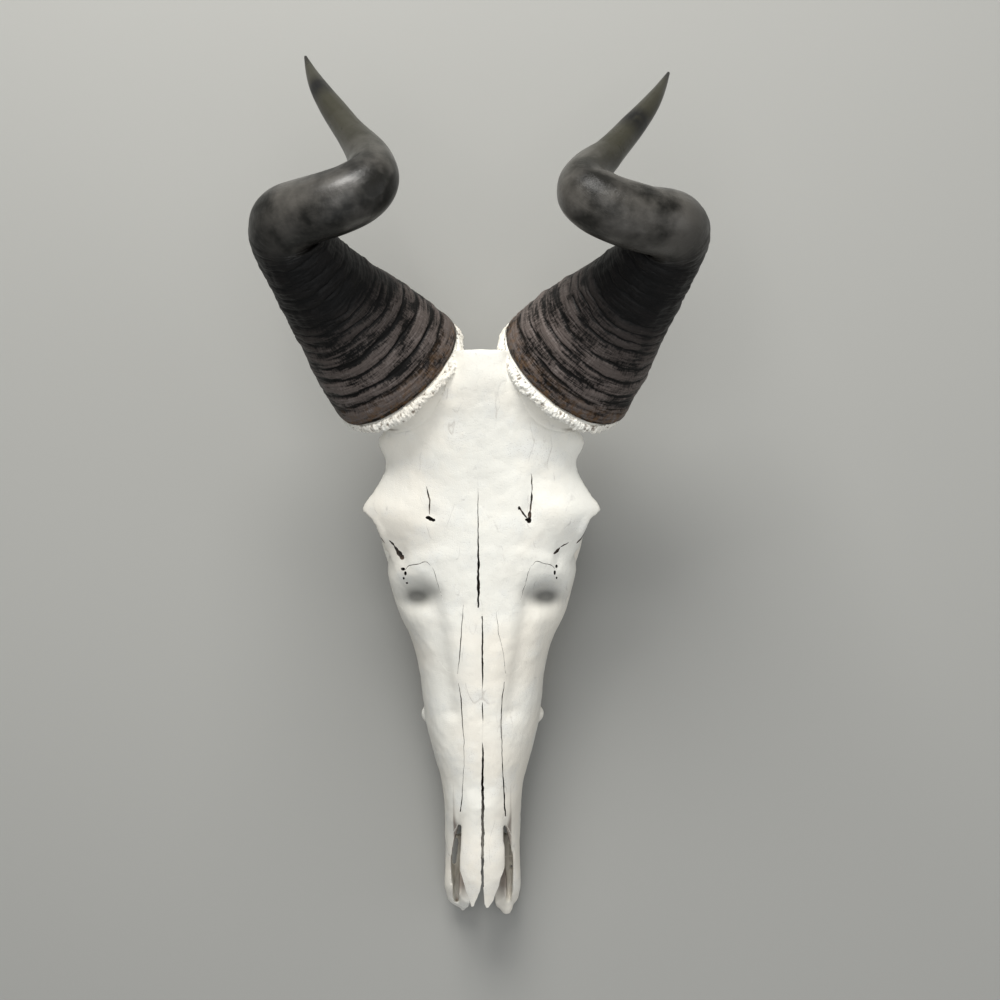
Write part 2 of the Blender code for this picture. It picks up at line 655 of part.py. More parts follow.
def skull_masses(collection):
    """The closed bodies that fuse with the muzzle into the whole skull."""
    masses = [
        plate_loft("brow", BROW, lambda row: row[3], lambda row: row[4], 40, collection),
        plate_loft("nasal_roof", NASAL_ROOF, lambda row: 2.5, lambda row: row[3], 16, collection),
        taper("base", BASE_LOW, BASE_HIGH, *BASE_RADII, 20, collection),
    ]
    for side in (LEFT, RIGHT):
        masses.append(tube("orbit_rim", mirrored(ORBIT_RIM, side), ORBIT_RIM_RADIUS, True, collection))
        masses.append(tube("arch", mirrored(ARCH, side), ARCH_RADIUS, False, collection))
        masses.append(horn_boss(side, collection))
        masses.append(prong_loft(side, collection))
        for name, (centre, radii) in PAIRED_MASSES.items():
            masses.append(ball(name, at_side(centre, side), radii, collection))
    return masses


def skull_hollows(collection):
    """The open spaces of the skull: palate, orbits, temples, gland pits, spinal opening."""
    hollows = [ball(name, centre, radii, collection) for name, (centre, radii) in SINGLE_HOLLOWS.items()]
    for side in (LEFT, RIGHT):
        hollows.append(ball("orbit", at_side(ORBIT_CENTRE, side), ORBIT_RADII, collection))
        for name, (centre, radii) in PAIRED_HOLLOWS.items():
            hollows.append(ball(name, at_side(centre, side), radii, collection))
    return hollows


def whole_skull(collection):
    """The skull as one body, with soft transitions and few triangles."""
    skull = open_muzzle(collection)
    combine(skull, skull_masses(collection), "UNION")
    combine(skull, skull_hollows(collection), "DIFFERENCE")
    remesh = skull.modifiers.new("voxels", "REMESH")
    remesh.mode = "VOXEL"
    remesh.voxel_size = VOXEL * MM
    soften = skull.modifiers.new("soften", "SMOOTH")
    soften.factor = 0.5
    soften.iterations = 3
    apply_modifiers(skull)
    keep_largest(skull)
    thin = skull.modifiers.new("thin", "DECIMATE")
    thin.ratio = SKULL_TRIANGLES / sum(len(face.vertices) - 2 for face in skull.data.polygons)
    apply_modifiers(skull)
    for side in (LEFT, RIGHT):
        combine(skull, [horn_clearance(side, collection)], "DIFFERENCE")
        low, high = at_side(EAR_PROCESS_LOW, side), at_side(EAR_PROCESS_HIGH, side)
        combine(skull, [taper("ear_process", low, high, *EAR_PROCESS_RADII, 14, collection)], "UNION")
    return skull


def teeth(side, collection):
    """One row of cheek teeth, each a tapered block with a rounded outer fold and a flat crown."""
    draw = np.random.default_rng(7 if side == LEFT else 8)
    row = []
    start = TOOTH_ROW_START
    total = sum(length for length, _ in TEETH)
    for length, width in TEETH:
        middle = start + 0.5 * length
        share = (middle - TOOTH_ROW_START) / total
        x = TOOTH_ROW_X[0] + (TOOTH_ROW_X[1] - TOOTH_ROW_X[0]) * share + draw.uniform(-0.3, 0.3)
        turn = np.linspace(0.0, 2.0 * math.pi, 12, endpoint=False)
        rings = []
        for z, size in ((0.0, 0.93), (5.0, 1.0), (TOOTH_ROOT_TOP, 0.82)):
            fold = 1.0 + 0.06 * np.cos(3.0 * turn)
            across = np.sign(np.cos(turn)) * np.abs(np.cos(turn)) ** 0.6 * fold
            lengthwise = np.sign(np.sin(turn)) * np.abs(np.sin(turn)) ** 0.6
            ring_x = side * x + 0.5 * width * size * across
            ring_y = middle + 0.5 * (length - 0.6) * size * lengthwise
            rings.append(np.column_stack([ring_x, ring_y, np.full_like(turn, z)]))
        row.append(loft("tooth", rings, collection))
        start += length
    return row


def bones(collection):
    """The skull parted into its bones, each an object of its own."""
    rest = whole_skull(collection)
    found = [split_off(rest, "occipital", RIGHT, OCCIPITAL_OUTLINE, OCCIPITAL_PROFILE, collection)]
    paired = (
        ("nasal", NASAL_OUTLINE, NASAL_PROFILE),
        ("premaxilla", PREMAXILLA_OUTLINE, PREMAXILLA_PROFILE),
        ("lacrimal", LACRIMAL_OUTLINE, LACRIMAL_PROFILE),
        ("zygomatic", ZYGOMATIC_OUTLINE, ZYGOMATIC_PROFILE),
        ("frontal", FRONTAL_OUTLINE, FRONTAL_PROFILE),
        ("maxilla", MAXILLA_OUTLINE, MAXILLA_PROFILE),
    )
    for name, outline, profile in paired:
        for side, word in ((LEFT, "left"), (RIGHT, "right")):
            own = outline[side] if isinstance(outline, dict) else outline
            bone = split_off(rest, f"{name}_{word}", side, own, profile, collection)
            if name == "maxilla":
                combine(bone, teeth(side, collection), "UNION")
                keep_largest(bone)
            found.append(bone)
    found.append(split_off(rest, "palatine", RIGHT, PALATINE_OUTLINE, PALATINE_PROFILE, collection))
    rest.name = "braincase"
    keep_largest(rest)
    found.append(rest)
    return found


def main():
    """Build the skull and the two horns."""
    clear_scene()
    collection = bpy.data.collections.new("hartebeest_skull")
    bpy.context.scene.collection.children.link(collection)
    bone = plain_material("bone", BONE_WHITE, 0.7)
    for item in bones(collection):
        item.data.materials.clear()
        item.data.materials.append(bone)
    keratin = plain_material("horn", HORN_BROWN, 0.45)
    for side, word in ((LEFT, "left"), (RIGHT, "right")):
        item = horn(f"horn_{word}", side, collection)
        item.data.materials.append(keratin)
        item.data.shade_smooth()


main()
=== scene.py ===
"""Looks of the hartebeest skull: fine bone, teeth, ringed horns, floor, light and camera."""

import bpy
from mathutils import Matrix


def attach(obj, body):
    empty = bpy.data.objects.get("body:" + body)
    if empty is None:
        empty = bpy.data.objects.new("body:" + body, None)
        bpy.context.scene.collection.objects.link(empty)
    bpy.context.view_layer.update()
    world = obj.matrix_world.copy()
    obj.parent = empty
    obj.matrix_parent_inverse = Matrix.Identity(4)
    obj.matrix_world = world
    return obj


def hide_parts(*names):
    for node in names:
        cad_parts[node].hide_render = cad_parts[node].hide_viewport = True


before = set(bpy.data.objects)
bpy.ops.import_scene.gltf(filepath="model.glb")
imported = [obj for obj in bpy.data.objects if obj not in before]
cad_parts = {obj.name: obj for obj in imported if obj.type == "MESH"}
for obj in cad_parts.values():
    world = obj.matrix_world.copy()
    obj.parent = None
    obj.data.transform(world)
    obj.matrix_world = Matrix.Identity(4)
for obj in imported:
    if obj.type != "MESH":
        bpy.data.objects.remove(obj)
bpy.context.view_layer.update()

import logging
import math
from dataclasses import dataclass, field
from enum import Enum

import bmesh
import bpy
import numpy as np

log = logging.getLogger("hartebeest_skull")

MM = 0.001
STATION_OF_ORIGIN = 306.1
WANDER = 0.30
X_OF_ORIGIN = -0.265


class Side(Enum):
    """The animal's side as it lies in the picture."""

    LEFT = -1
    RIGHT = 1

    @property
    def word(self) -> str:
        """The side's word in node names."""
        return self.name.lower()


def place(points: np.ndarray) -> np.ndarray:
    """Skull millimetres (x, station, z) to world metres."""
    return (np.asarray(points, dtype=float) - np.array([X_OF_ORIGIN, STATION_OF_ORIGIN, 0.0])) * MM


def unplace(points: np.ndarray) -> np.ndarray:
    """World metres back to skull millimetres."""
    return np.asarray(points) / MM + np.array([X_OF_ORIGIN, STATION_OF_ORIGIN, 0.0])


def smooth_rows(rows: tuple, count: int) -> np.ndarray:
    """Read a table at even steps of its first column.

    A cubic runs between each two rows, with the slope at a row taken from its neighbours.

    Args:
        rows: The table, rising in its first column.
        count: How many rows to give back.

    Returns:
        The new table, count rows long.
    """
    table = np.asarray(rows, dtype=float)
    knots = table[:, 0]
    slope = np.gradient(table, knots, axis=0)
    wanted = np.linspace(knots[0], knots[-1], count)
    at = np.clip(np.searchsorted(knots, wanted, side="right") - 1, 0, len(knots) - 2)
    span = (knots[at + 1] - knots[at])[:, None]
    t = (wanted - knots[at])[:, None] / span
    return (
        (2 * t**3 - 3 * t**2 + 1) * table[at]
        + (t**3 - 2 * t**2 + t) * span * slope[at]
        + (3 * t**2 - 2 * t**3) * table[at + 1]
        + (t**3 - t**2) * span * slope[at + 1]
    )


def lattice_noise(points: np.ndarray, scale: float, seed: int) -> np.ndarray:
    """Smooth random values in space, from -1 to 1.

    Random numbers stand on a cubic lattice that repeats every 32 cells, and each point blends the
    eight around it with an S-shaped weight.

    Args:
        points: Places, one row each.
        scale: Width of a lattice cell, in the points' unit.
        seed: Seed of the random numbers.

    Returns:
        One value a point.
    """
    size = 32
    grid = np.random.default_rng(seed).uniform(-1.0, 1.0, (size, size, size))
    cell = points / scale
    low = np.floor(cell).astype(int)
    t = cell - low
    t = t * t * (3.0 - 2.0 * t)
    total = np.zeros(len(points))
    for dx in (0, 1):
        for dy in (0, 1):
            for dz in (0, 1):
                weight = (t[:, 0] if dx else 1 - t[:, 0]) * (t[:, 1] if dy else 1 - t[:, 1])
                weight = weight * (t[:, 2] if dz else 1 - t[:, 2])
                corner = grid[(low[:, 0] + dx) % size, (low[:, 1] + dy) % size, (low[:, 2] + dz) % size]
                total += weight * corner
    return total


def layered_noise(points: np.ndarray, scale: float, seed: int, layers: int = 3) -> np.ndarray:
    """Sum of noises, each half as wide and half as strong as the one before."""
    return sum(lattice_noise(points, scale / 2**k, seed + k) / 2**k for k in range(layers))


def hill(x: np.ndarray, y: np.ndarray, centre: tuple, radii: tuple) -> np.ndarray:
    """A bell curve over two coordinates, 1 at its centre."""
    return np.exp(-(((x - centre[0]) / radii[0]) ** 2) - ((y - centre[1]) / radii[1]) ** 2)


def path_distance(x: np.ndarray, y: np.ndarray, path: tuple) -> np.ndarray:
    """Distance of each point to a broken line in the plane.

    Args:
        x: First coordinate of the points.
        y: Second coordinate of the points.
        path: Corners of the line.

    Returns:
        The distance to the nearest stretch, one a point.
    """
    nearest = np.full(len(x), 1e9)
    for (ax, ay), (bx, by) in zip(path[:-1], path[1:]):
        length = (bx - ax) ** 2 + (by - ay) ** 2
        t = np.clip(((x - ax) * (bx - ax) + (y - ay) * (by - ay)) / length, 0.0, 1.0)
        nearest = np.minimum(nearest, np.hypot(x - ax - t * (bx - ax), y - ay - t * (by - ay)))
    return nearest


def power(value: np.ndarray, exponent: float) -> np.ndarray:
    """A power that keeps the sign."""
    return np.sign(value) * np.abs(value) ** exponent


class Meshes:
    """Makes mesh objects from arrays and joins them."""

    @staticmethod
    def from_arrays(name: str, points: np.ndarray, faces: np.ndarray) -> bpy.types.Object:
        """A mesh object from world points and quads, a triangle repeating its last corner.

        Args:
            name: Name of the object.
            points: World metres.
            faces: Four corner numbers a row.

        Returns:
            The object, linked to the scene.
        """
        mesh = bpy.data.meshes.new(name)
        triangle = faces[:, 3] == faces[:, 2]
        mesh.from_pydata(points.tolist(), [], faces[~triangle].tolist() + faces[triangle][:, :3].tolist())
        mesh.polygons.foreach_set("use_smooth", np.ones(len(mesh.polygons), dtype=bool))
        item = bpy.data.objects.new(name, mesh)
        bpy.context.scene.collection.objects.link(item)
        return item

    @staticmethod
    def loft(name: str, rings: np.ndarray) -> bpy.types.Object:
        """A skin over closed rings, each end closed by a fan to its middle.

        Args:
            name: Name of the object.
            rings: Array of rings, points and skull millimetres.

        Returns:
            A closed object with its faces pointing out.
        """
        rows, count, _ = rings.shape
        grid = np.arange(rows * count).reshape(rows, count)
        ahead = np.roll(grid, -1, axis=1)
        walls = np.stack([grid[:-1], ahead[:-1], ahead[1:], grid[1:]], axis=-1).reshape(-1, 4)
        first, last = rows * count, rows * count + 1
        low = np.stack([grid[0], np.full(count, first), ahead[0], ahead[0]], axis=-1)
        high = np.stack([grid[-1], ahead[-1], np.full(count, last), np.full(count, last)], axis=-1)
        points = np.concatenate([rings.reshape(-1, 3), rings[0].mean(0)[None], rings[-1].mean(0)[None]])
        item = Meshes.from_arrays(name, place(points), np.concatenate([walls, low, high]))
        Meshes.face_out(item)
        return item

    @staticmethod
    def face_out(item: bpy.types.Object) -> None:
        """Merge doubles and turn the faces outwards.

        Args:
            item: A closed mesh object.
        """
        shape = bmesh.new()
        shape.from_mesh(item.data)
        bmesh.ops.remove_doubles(shape, verts=shape.verts, dist=1e-6)
        bmesh.ops.recalc_face_normals(shape, faces=shape.faces)
        shape.to_mesh(item.data)
        shape.free()

    @staticmethod
    def ball(name: str, centre: tuple, radii: tuple) -> bpy.types.Object:
        """An ellipsoid: rings of latitude scaled by the three radii.

        Args:
            name: Name of the object.
            centre: Skull millimetres.
            radii: Half its width, length and height.

        Returns:
            The ellipsoid.
        """
        lat = np.linspace(-math.pi / 2, math.pi / 2, 25)[1:-1, None]
        turn = np.linspace(0.0, 2.0 * math.pi, 36, endpoint=False)[None, :]
        x = centre[0] + radii[0] * np.cos(lat) * np.cos(turn)
        y = centre[1] + radii[1] * np.cos(lat) * np.sin(turn)
        z = centre[2] + radii[2] * np.sin(lat) * np.ones_like(turn)
        return Meshes.loft(name, np.stack([x, y, z], axis=-1))

    @staticmethod
    def tube(name: str, points: np.ndarray, radius: float, closed: bool,
             shares: object = 1.0) -> bpy.types.Object:
        """A round bar: a circle carried along a smooth curve through the points.

        Args:
            name: Name of the object.
            points: Skull millimetres along the bar.
            radius: Radius of the circle.
            closed: Whether the bar is a ring.
            shares: Share of the radius at each point, or one for all.

        Returns:
            The bar as a mesh.
        """
        curve = bpy.data.curves.new(name, "CURVE")
        curve.dimensions = "3D"
        curve.bevel_depth = radius * MM
        curve.bevel_resolution = 5
        curve.resolution_u = 8
        curve.use_fill_caps = True
        spline = curve.splines.new("NURBS")
        spline.points.add(len(points) - 1)
        spline.points.foreach_set("co", np.column_stack([place(points), np.ones(len(points))]).ravel())
        spline.points.foreach_set("radius", np.ones(len(points)) * shares)
        spline.order_u = 3
        spline.use_cyclic_u = closed
        spline.use_endpoint_u = not closed
        guide = bpy.data.objects.new(name, curve)
        bpy.context.scene.collection.objects.link(guide)
        item = Meshes.evaluated(guide, name)
        bpy.data.objects.remove(guide, do_unlink=True)
        Meshes.face_out(item)
        return item

    @staticmethod
    def evaluated(source: bpy.types.Object, name: str) -> bpy.types.Object:
        """A new object with the evaluated shape of another.

        Args:
            source: The object to read.
            name: Name of the new one.

        Returns:
            The new object, linked to the scene.
        """
        item = bpy.data.objects.new(name, Meshes.evaluated_mesh(source))
        bpy.context.scene.collection.objects.link(item)
        return item

    @staticmethod
    def evaluated_mesh(source: bpy.types.Object) -> bpy.types.Mesh:
        """A new mesh with the evaluated shape of an object."""
        bpy.context.view_layer.update()
        return bpy.data.meshes.new_from_object(source.evaluated_get(bpy.context.evaluated_depsgraph_get()))

    @staticmethod
    def apply(item: bpy.types.Object) -> None:
        """Give an object its evaluated mesh and clear its modifiers.

        Args:
            item: The object.
        """
        mesh = Meshes.evaluated_mesh(item)
        item.modifiers.clear()
        old = item.data
        item.data = mesh
        bpy.data.meshes.remove(old)

    @staticmethod
    def combine(item: bpy.types.Object, others: list[bpy.types.Object], operation: str) -> bpy.types.Object:
        """Apply one Boolean with closed meshes, which are then removed.

        Args:
            item: The object that changes.
            others: The closed meshes.
            operation: UNION, DIFFERENCE or INTERSECT.

        Returns:
            The changed object.
        """
        group = bpy.data.collections.new("operands")
        for other in others:
            group.objects.link(other)
        step = item.modifiers.new("combine", "BOOLEAN")
        step.operand_type = "COLLECTION"
        step.collection = group
        step.operation = operation
        step.solver = "MANIFOLD"
        Meshes.apply(item)
        for other in others:
            bpy.data.objects.remove(other, do_unlink=True)
        bpy.data.collections.remove(group)
        return item

    @staticmethod
    def fetch(things: bpy.types.bpy_prop_collection, name: str, kind: type, width: int = 1) -> np.ndarray:
        """One property of all elements of a mesh.

        Args:
            things: The mesh's vertices, edges, faces or corners.
            name: Name of the property.
            kind: Number type of the array.
            width: How many numbers one element has.

        Returns:
            One row an element, or one number where the width is 1.
        """
        found = np.empty(len(things) * width, dtype=kind)
        things.foreach_get(name, found)
        return found.reshape(-1, width) if width > 1 else found

    @staticmethod
    def points_and_normals(item: bpy.types.Object) -> tuple[np.ndarray, np.ndarray]:
        """Skull millimetres of the vertices, and their normals."""
        points = Meshes.fetch(item.data.vertices, "co", np.float32, 3)
        return unplace(points), Meshes.fetch(item.data.vertex_normals, "vector", np.float32, 3).astype(float)

    @staticmethod
    def move(item: bpy.types.Object, points: np.ndarray) -> None:
        """Put the vertices at the given skull millimetres."""
        item.data.vertices.foreach_set("co", place(points).astype(np.float32).ravel())
        item.data.update()

    @staticmethod
    def neighbour_mean(item: bpy.types.Object, values: np.ndarray, rounds: int) -> np.ndarray:
        """Average values with those along the edges.

        Each round gives a vertex the mean of its edge neighbours' values.

        Args:
            item: The mesh object.
            values: One row a vertex.
            rounds: How often to average.

        Returns:
            The averaged values.
        """
        a, b = Meshes.fetch(item.data.edges, "vertices", np.int32, 2).T
        count = np.bincount(a, minlength=len(values)) + np.bincount(b, minlength=len(values))
        out = np.array(values, dtype=float)
        flat = out.reshape(len(values), -1)
        for _ in range(rounds):
            total = np.zeros_like(flat)
            for column in range(flat.shape[1]):
                total[:, column] += np.bincount(a, weights=flat[b, column], minlength=len(flat))
                total[:, column] += np.bincount(b, weights=flat[a, column], minlength=len(flat))
            flat = total / np.maximum(count, 1)[:, None]
        return flat.reshape(out.shape)

    @staticmethod
    def keep_large(item: bpy.types.Object, least: int) -> None:
        """Delete loose scraps.

        Each vertex starts with its own number, and the lowest number spreads along the edges until
        each piece has one; pieces with too few vertices are deleted.

        Args:
            item: The mesh object.
            least: Vertices that a piece must have to stay.
        """
        Meshes.face_out(item)
        mesh = item.data
        a, b = Meshes.fetch(mesh.edges, "vertices", np.int32, 2).T
        label = np.arange(len(mesh.vertices))
        while True:
            lowest = np.minimum(label[a], label[b])
            after = label.copy()
            np.minimum.at(after, a, lowest)
            np.minimum.at(after, b, lowest)
            after = after[after]
            if np.array_equal(after, label):
                break
            label = after
        scrap = np.bincount(label, minlength=len(label))[label] < least
        if scrap.any():
            shape = bmesh.new()
            shape.from_mesh(mesh)
            shape.verts.ensure_lookup_table()
            bmesh.ops.delete(shape, geom=[shape.verts[k] for k in np.flatnonzero(scrap)], context="VERTS")
            shape.to_mesh(mesh)
            shape.free()

    @staticmethod
    def attribute(item: bpy.types.Object, name: str, values: np.ndarray) -> None:
        """Store one number a vertex under a name that a material reads."""
        layer = item.data.attributes.new(name, "FLOAT", "POINT")
        layer.data.foreach_set("value", values.astype(np.float32))


class Wire:
    """A socket that adds Math nodes when it is used in an expression."""

    def __init__(self, graph: "Graph", socket: bpy.types.NodeSocket) -> None:
        """Wrap a socket of a graph."""
        self.graph = graph
        self.socket = socket

    def __add__(self, other: "Wire | float") -> "Wire":
        """Sum."""
        return self.graph.math("ADD", self, other)

    def __sub__(self, other: "Wire | float") -> "Wire":
        """Difference."""
        return self.graph.math("SUBTRACT", self, other)

    def __rsub__(self, other: float) -> "Wire":
        """Difference from a number."""
        return self.graph.math("SUBTRACT", other, self)

    def __mul__(self, other: "Wire | float") -> "Wire":
        """Product."""
        return self.graph.math("MULTIPLY", self, other)

    def __pow__(self, other: float) -> "Wire":
        """Power."""
        return self.graph.math("POWER", self, other)

    __radd__ = __add__
    __rmul__ = __mul__

    def size(self) -> "Wire":
        """The value without its sign."""
        return self.graph.math("ABSOLUTE", self, 0.0)

    def clamp(self) -> "Wire":
        """The value held between 0 and 1."""
        return self.graph.math("ADD", self, 0.0, clamp=True)

    def band(self, low: float, high: float) -> "Wire":
        """0 below low, 1 above high, and a straight rise between them."""
        return self.graph.math("MULTIPLY", self - low, 1.0 / (high - low), clamp=True)


class Graph:
    """The node tree of one material."""

    def __init__(self, name: str) -> None:
        """Start a material that holds only its output and a Principled shader.

        Args:
            name: Name of the material.
        """
        self.material = bpy.data.materials.new(name)
        self.material.use_nodes = True
        self.tree = self.material.node_tree
        self.shader = self.tree.nodes["Principled BSDF"]

    def node(self, kind: str, settings: dict | None = None, **sockets: object) -> bpy.types.Node:
        """Add a node.

        Args:
            kind: The node's type.
            settings: Properties set before the sockets.
            sockets: Value or link of each input, its name with _ for a space.

        Returns:
            The node.
        """
        made = self.tree.nodes.new(kind)
        for name, value in (settings or {}).items():
            setattr(made, name, value)
        for name, value in sockets.items():
            self.feed(made.inputs[name.replace("_", " ")], value)
        return made

    def feed(self, socket: bpy.types.NodeSocket, value: object) -> None:
        """Link a wire to an input, or set its constant.

        Args:
            socket: The input.
            value: A wire, a number, a vector or a colour of three numbers.
        """
        if isinstance(value, Wire):
            self.tree.links.new(value.socket, socket)
        elif socket.type == "RGBA" and len(value) == 3:
            socket.default_value = (*value, 1.0)
        else:
            socket.default_value = value

    def wire(self, made: bpy.types.Node, output: str | int = 0) -> Wire:
        """An output of a node."""
        return Wire(self, made.outputs[output])

    def math(self, operation: str, a: object, b: object, clamp: bool = False) -> Wire:
        """One Math node on two values.

        Args:
            operation: What it does.
            a: First value or wire.
            b: Second value or wire.
            clamp: Whether the result is held between 0 and 1.

        Returns:
            The result.
        """
        made = self.node("ShaderNodeMath", {"operation": operation, "use_clamp": clamp})
        self.feed(made.inputs[0], a)
        self.feed(made.inputs[1], b)
        return self.wire(made)

    def mix(self, factor: object, a: object, b: object) -> Wire:
        """A blend of two colours.

        Args:
            factor: Share of the second.
            a: First colour.
            b: Second colour.

        Returns:
            The blend.
        """
        made = self.node("ShaderNodeMix", {"data_type": "RGBA"})
        self.feed(made.inputs["Factor"], factor)
        self.feed(made.inputs[6], a)
        self.feed(made.inputs[7], b)
        return self.wire(made, 2)

    def spot(self) -> Wire:
        """Object coordinates."""
        return self.wire(self.node("ShaderNodeTexCoord"), "Object")

    def stored(self, name: str) -> Wire:
        """The mesh's own number of that name."""
        return self.wire(self.node("ShaderNodeAttribute", {"attribute_name": name}), "Fac")

    def noise(self, scale: float, detail: float = 4.0, rough: float = 0.5, squash: tuple = (1, 1, 1),
              at: Wire | None = None) -> Wire:
        """Noise in space, about 0.5.

        Args:
            scale: Fineness.
            detail: Layers.
            rough: Strength of the finer layers.
            squash: Scale along each axis; a small number stretches the noise.
            at: Vector to read it at, or None for Object coordinates.

        Returns:
            The value.
        """
        moved = self.node("ShaderNodeMapping", Vector=at or self.spot(), Scale=squash)
        made = self.node("ShaderNodeTexNoise", Scale=scale, Detail=detail, Roughness=rough,
                         Vector=self.wire(moved))
        return self.wire(made, "Fac")

    def cells(self, scale: float) -> Wire:
        """Distance to the nearest of scattered points."""
        return self.wire(self.node("ShaderNodeTexVoronoi", Scale=scale, Vector=self.spot()), "Distance")

    def bump(self, height: Wire, distance: float, strength: float, under: Wire | None = None) -> Wire:
        """A normal bent by a height, over an earlier bump where there is one.

        Args:
            height: The height.
            distance: What a height of 1 stands for, in metres.
            strength: Share of the bend.
            under: The earlier normal.

        Returns:
            The normal.
        """
        made = self.node("ShaderNodeBump", Height=height, Distance=distance, Strength=strength)
        if under is not None:
            self.feed(made.inputs["Normal"], under)
        return self.wire(made)

    def finish(self, colour: Wire, roughness: object, normal: Wire) -> bpy.types.Material:
        """Feed the Principled shader and give the material back.

        Args:
            colour: Its base colour.
            roughness: Its roughness.
            normal: Its normal.

        Returns:
            The material.
        """
        self.feed(self.shader.inputs["Base Color"], colour)
        self.feed(self.shader.inputs["Roughness"], roughness)
        self.feed(self.shader.inputs["Normal"], normal)
        return self.material


@dataclass(frozen=True)
class BoneFinish:
    """Bleached dry bone: off-white, chalky, with pores, fine veins, painted shade in the pits before the
    eyes, and brown in its hollows that is partly dirt and partly painted shade.
    """

    white: tuple = (0.785, 0.775, 0.715)
    warm: tuple = (0.82, 0.765, 0.665)
    cool: tuple = (0.70, 0.715, 0.705)
    dirt: tuple = (0.17, 0.13, 0.095)
    brown: tuple = (0.135, 0.092, 0.072)
    # painted shade: a grey for the pits before the eyes
    shade: tuple = (0.105, 0.105, 0.096)
    roughness: float = 0.60

    def build(self) -> bpy.types.Material:
        """Build the bone's material.

        Returns:
            The material.
        """
        graph = Graph("bleached_bone")
        broad = graph.noise(13.0, 3.0)
        patch = graph.noise(48.0, 5.0, 0.6)
        grain = graph.noise(380.0, 4.0, 0.65, (1.0, 0.2, 1.0))
        pores = graph.cells(900.0)
        vein = graph.noise(30.0, 3.0, 0.5, (1.0, 0.3, 1.0))
        hollow = graph.stored("hollow")
        inner = graph.stored("inner")
        rough_bone = graph.stored("rough_bone")
        tint = graph.mix(broad.band(0.42, 0.62) * 0.65, self.white, self.warm)
        tint = graph.mix(patch.band(0.50, 0.72) * 0.45, tint, self.cool)
        tint = graph.mix(grain.band(0.52, 0.78) * 0.16, tint, self.warm)
        thread = (1.0 - (vein - 0.5).size().band(0.0015, 0.007)) * patch.band(0.50, 0.60)
        tint = graph.mix(thread * 0.22, tint, self.brown)
        # pores and concave spots are darkened brown: partly dirt, partly painted shade
        open_pore = (1.0 - pores.band(0.12, 0.32)) * (patch.band(0.50, 0.66) * 0.30 + rough_bone * 0.45)
        tint = graph.mix(open_pore.clamp(), tint, self.dirt)
        tint = graph.mix(hollow.band(0.16, 0.75) * 0.88, tint, self.dirt)
        # painted shade: the pits before the eyes, and faintly the valley below each, are greyed
        tint = graph.mix(graph.stored("dust") * 0.94, tint, self.shade)
        tint = graph.mix(inner * (0.55 + patch * 0.4), tint, self.brown)
        normal = graph.bump(broad + patch * 0.5, 0.0012, 0.30)
        normal = graph.bump(grain * 0.7 + (1.0 - thread) * 0.6, 0.00025, 0.45, normal)
        normal = graph.bump(pores.band(0.05, 0.4) + rough_bone * patch * 3.0, 0.0003, 0.40, normal)
        graph.shader.inputs["IOR"].default_value = 1.42
        return graph.finish(tint, self.roughness + patch * 0.16 + hollow * 0.1, normal)


@dataclass(frozen=True)
class CrackAndBrowShadowFinish:
    """The walls of an open crack, hole or groove: dark brown, nearly black in places; along the brows' rims
    it paints the shadow under the brow's edge.
    """

    black: tuple = (0.020, 0.016, 0.013)
    brown: tuple = (0.085, 0.055, 0.038)

    def build(self) -> bpy.types.Material:
        """Build the material of the crack walls, which also paints the shadow under the brows.

        Returns:
            The material.
        """
        graph = Graph("crack_wall_and_brow_shadow")
        blotch = graph.noise(160.0, 3.0)
        grain = graph.noise(600.0, 3.0)
        tint = graph.mix(blotch.band(0.45, 0.65), self.black, self.brown)
        return graph.finish(tint, 0.8 + grain * 0.1, graph.bump(grain, 0.0002, 0.4))


@dataclass(frozen=True)
class ToothFinish:
    """Cheek teeth: ivory enamel, brown stain up the sides and dark lakes in the crown."""

    enamel: tuple = (0.70, 0.65, 0.54)
    stain: tuple = (0.22, 0.14, 0.075)
    dentine: tuple = (0.46, 0.35, 0.22)
    roughness: float = 0.34

    def build(self) -> bpy.types.Material:
        """Build the teeth's material.

        Returns:
            The material.
        """
        graph = Graph("tooth_enamel")
        streak = graph.noise(260.0, 4.0, 0.6, (1.0, 1.0, 0.25))
        blotch = graph.noise(90.0, 3.0)
        worn = graph.stored("worn")
        fold = graph.stored("fold")
        tint = graph.mix(streak.band(0.45, 0.7) * 0.5, self.enamel, self.dentine)
        tint = graph.mix((fold.band(0.3, 1.0) * 0.8 + blotch.band(0.55, 0.7) * 0.3).clamp(), tint, self.stain)
        tint = graph.mix(worn.band(0.2, 0.8) * 0.8, tint, self.dentine)
        normal = graph.bump(streak + blotch * 0.5, 0.0003, 0.4)
        return graph.finish(tint, self.roughness + streak * 0.2, normal)


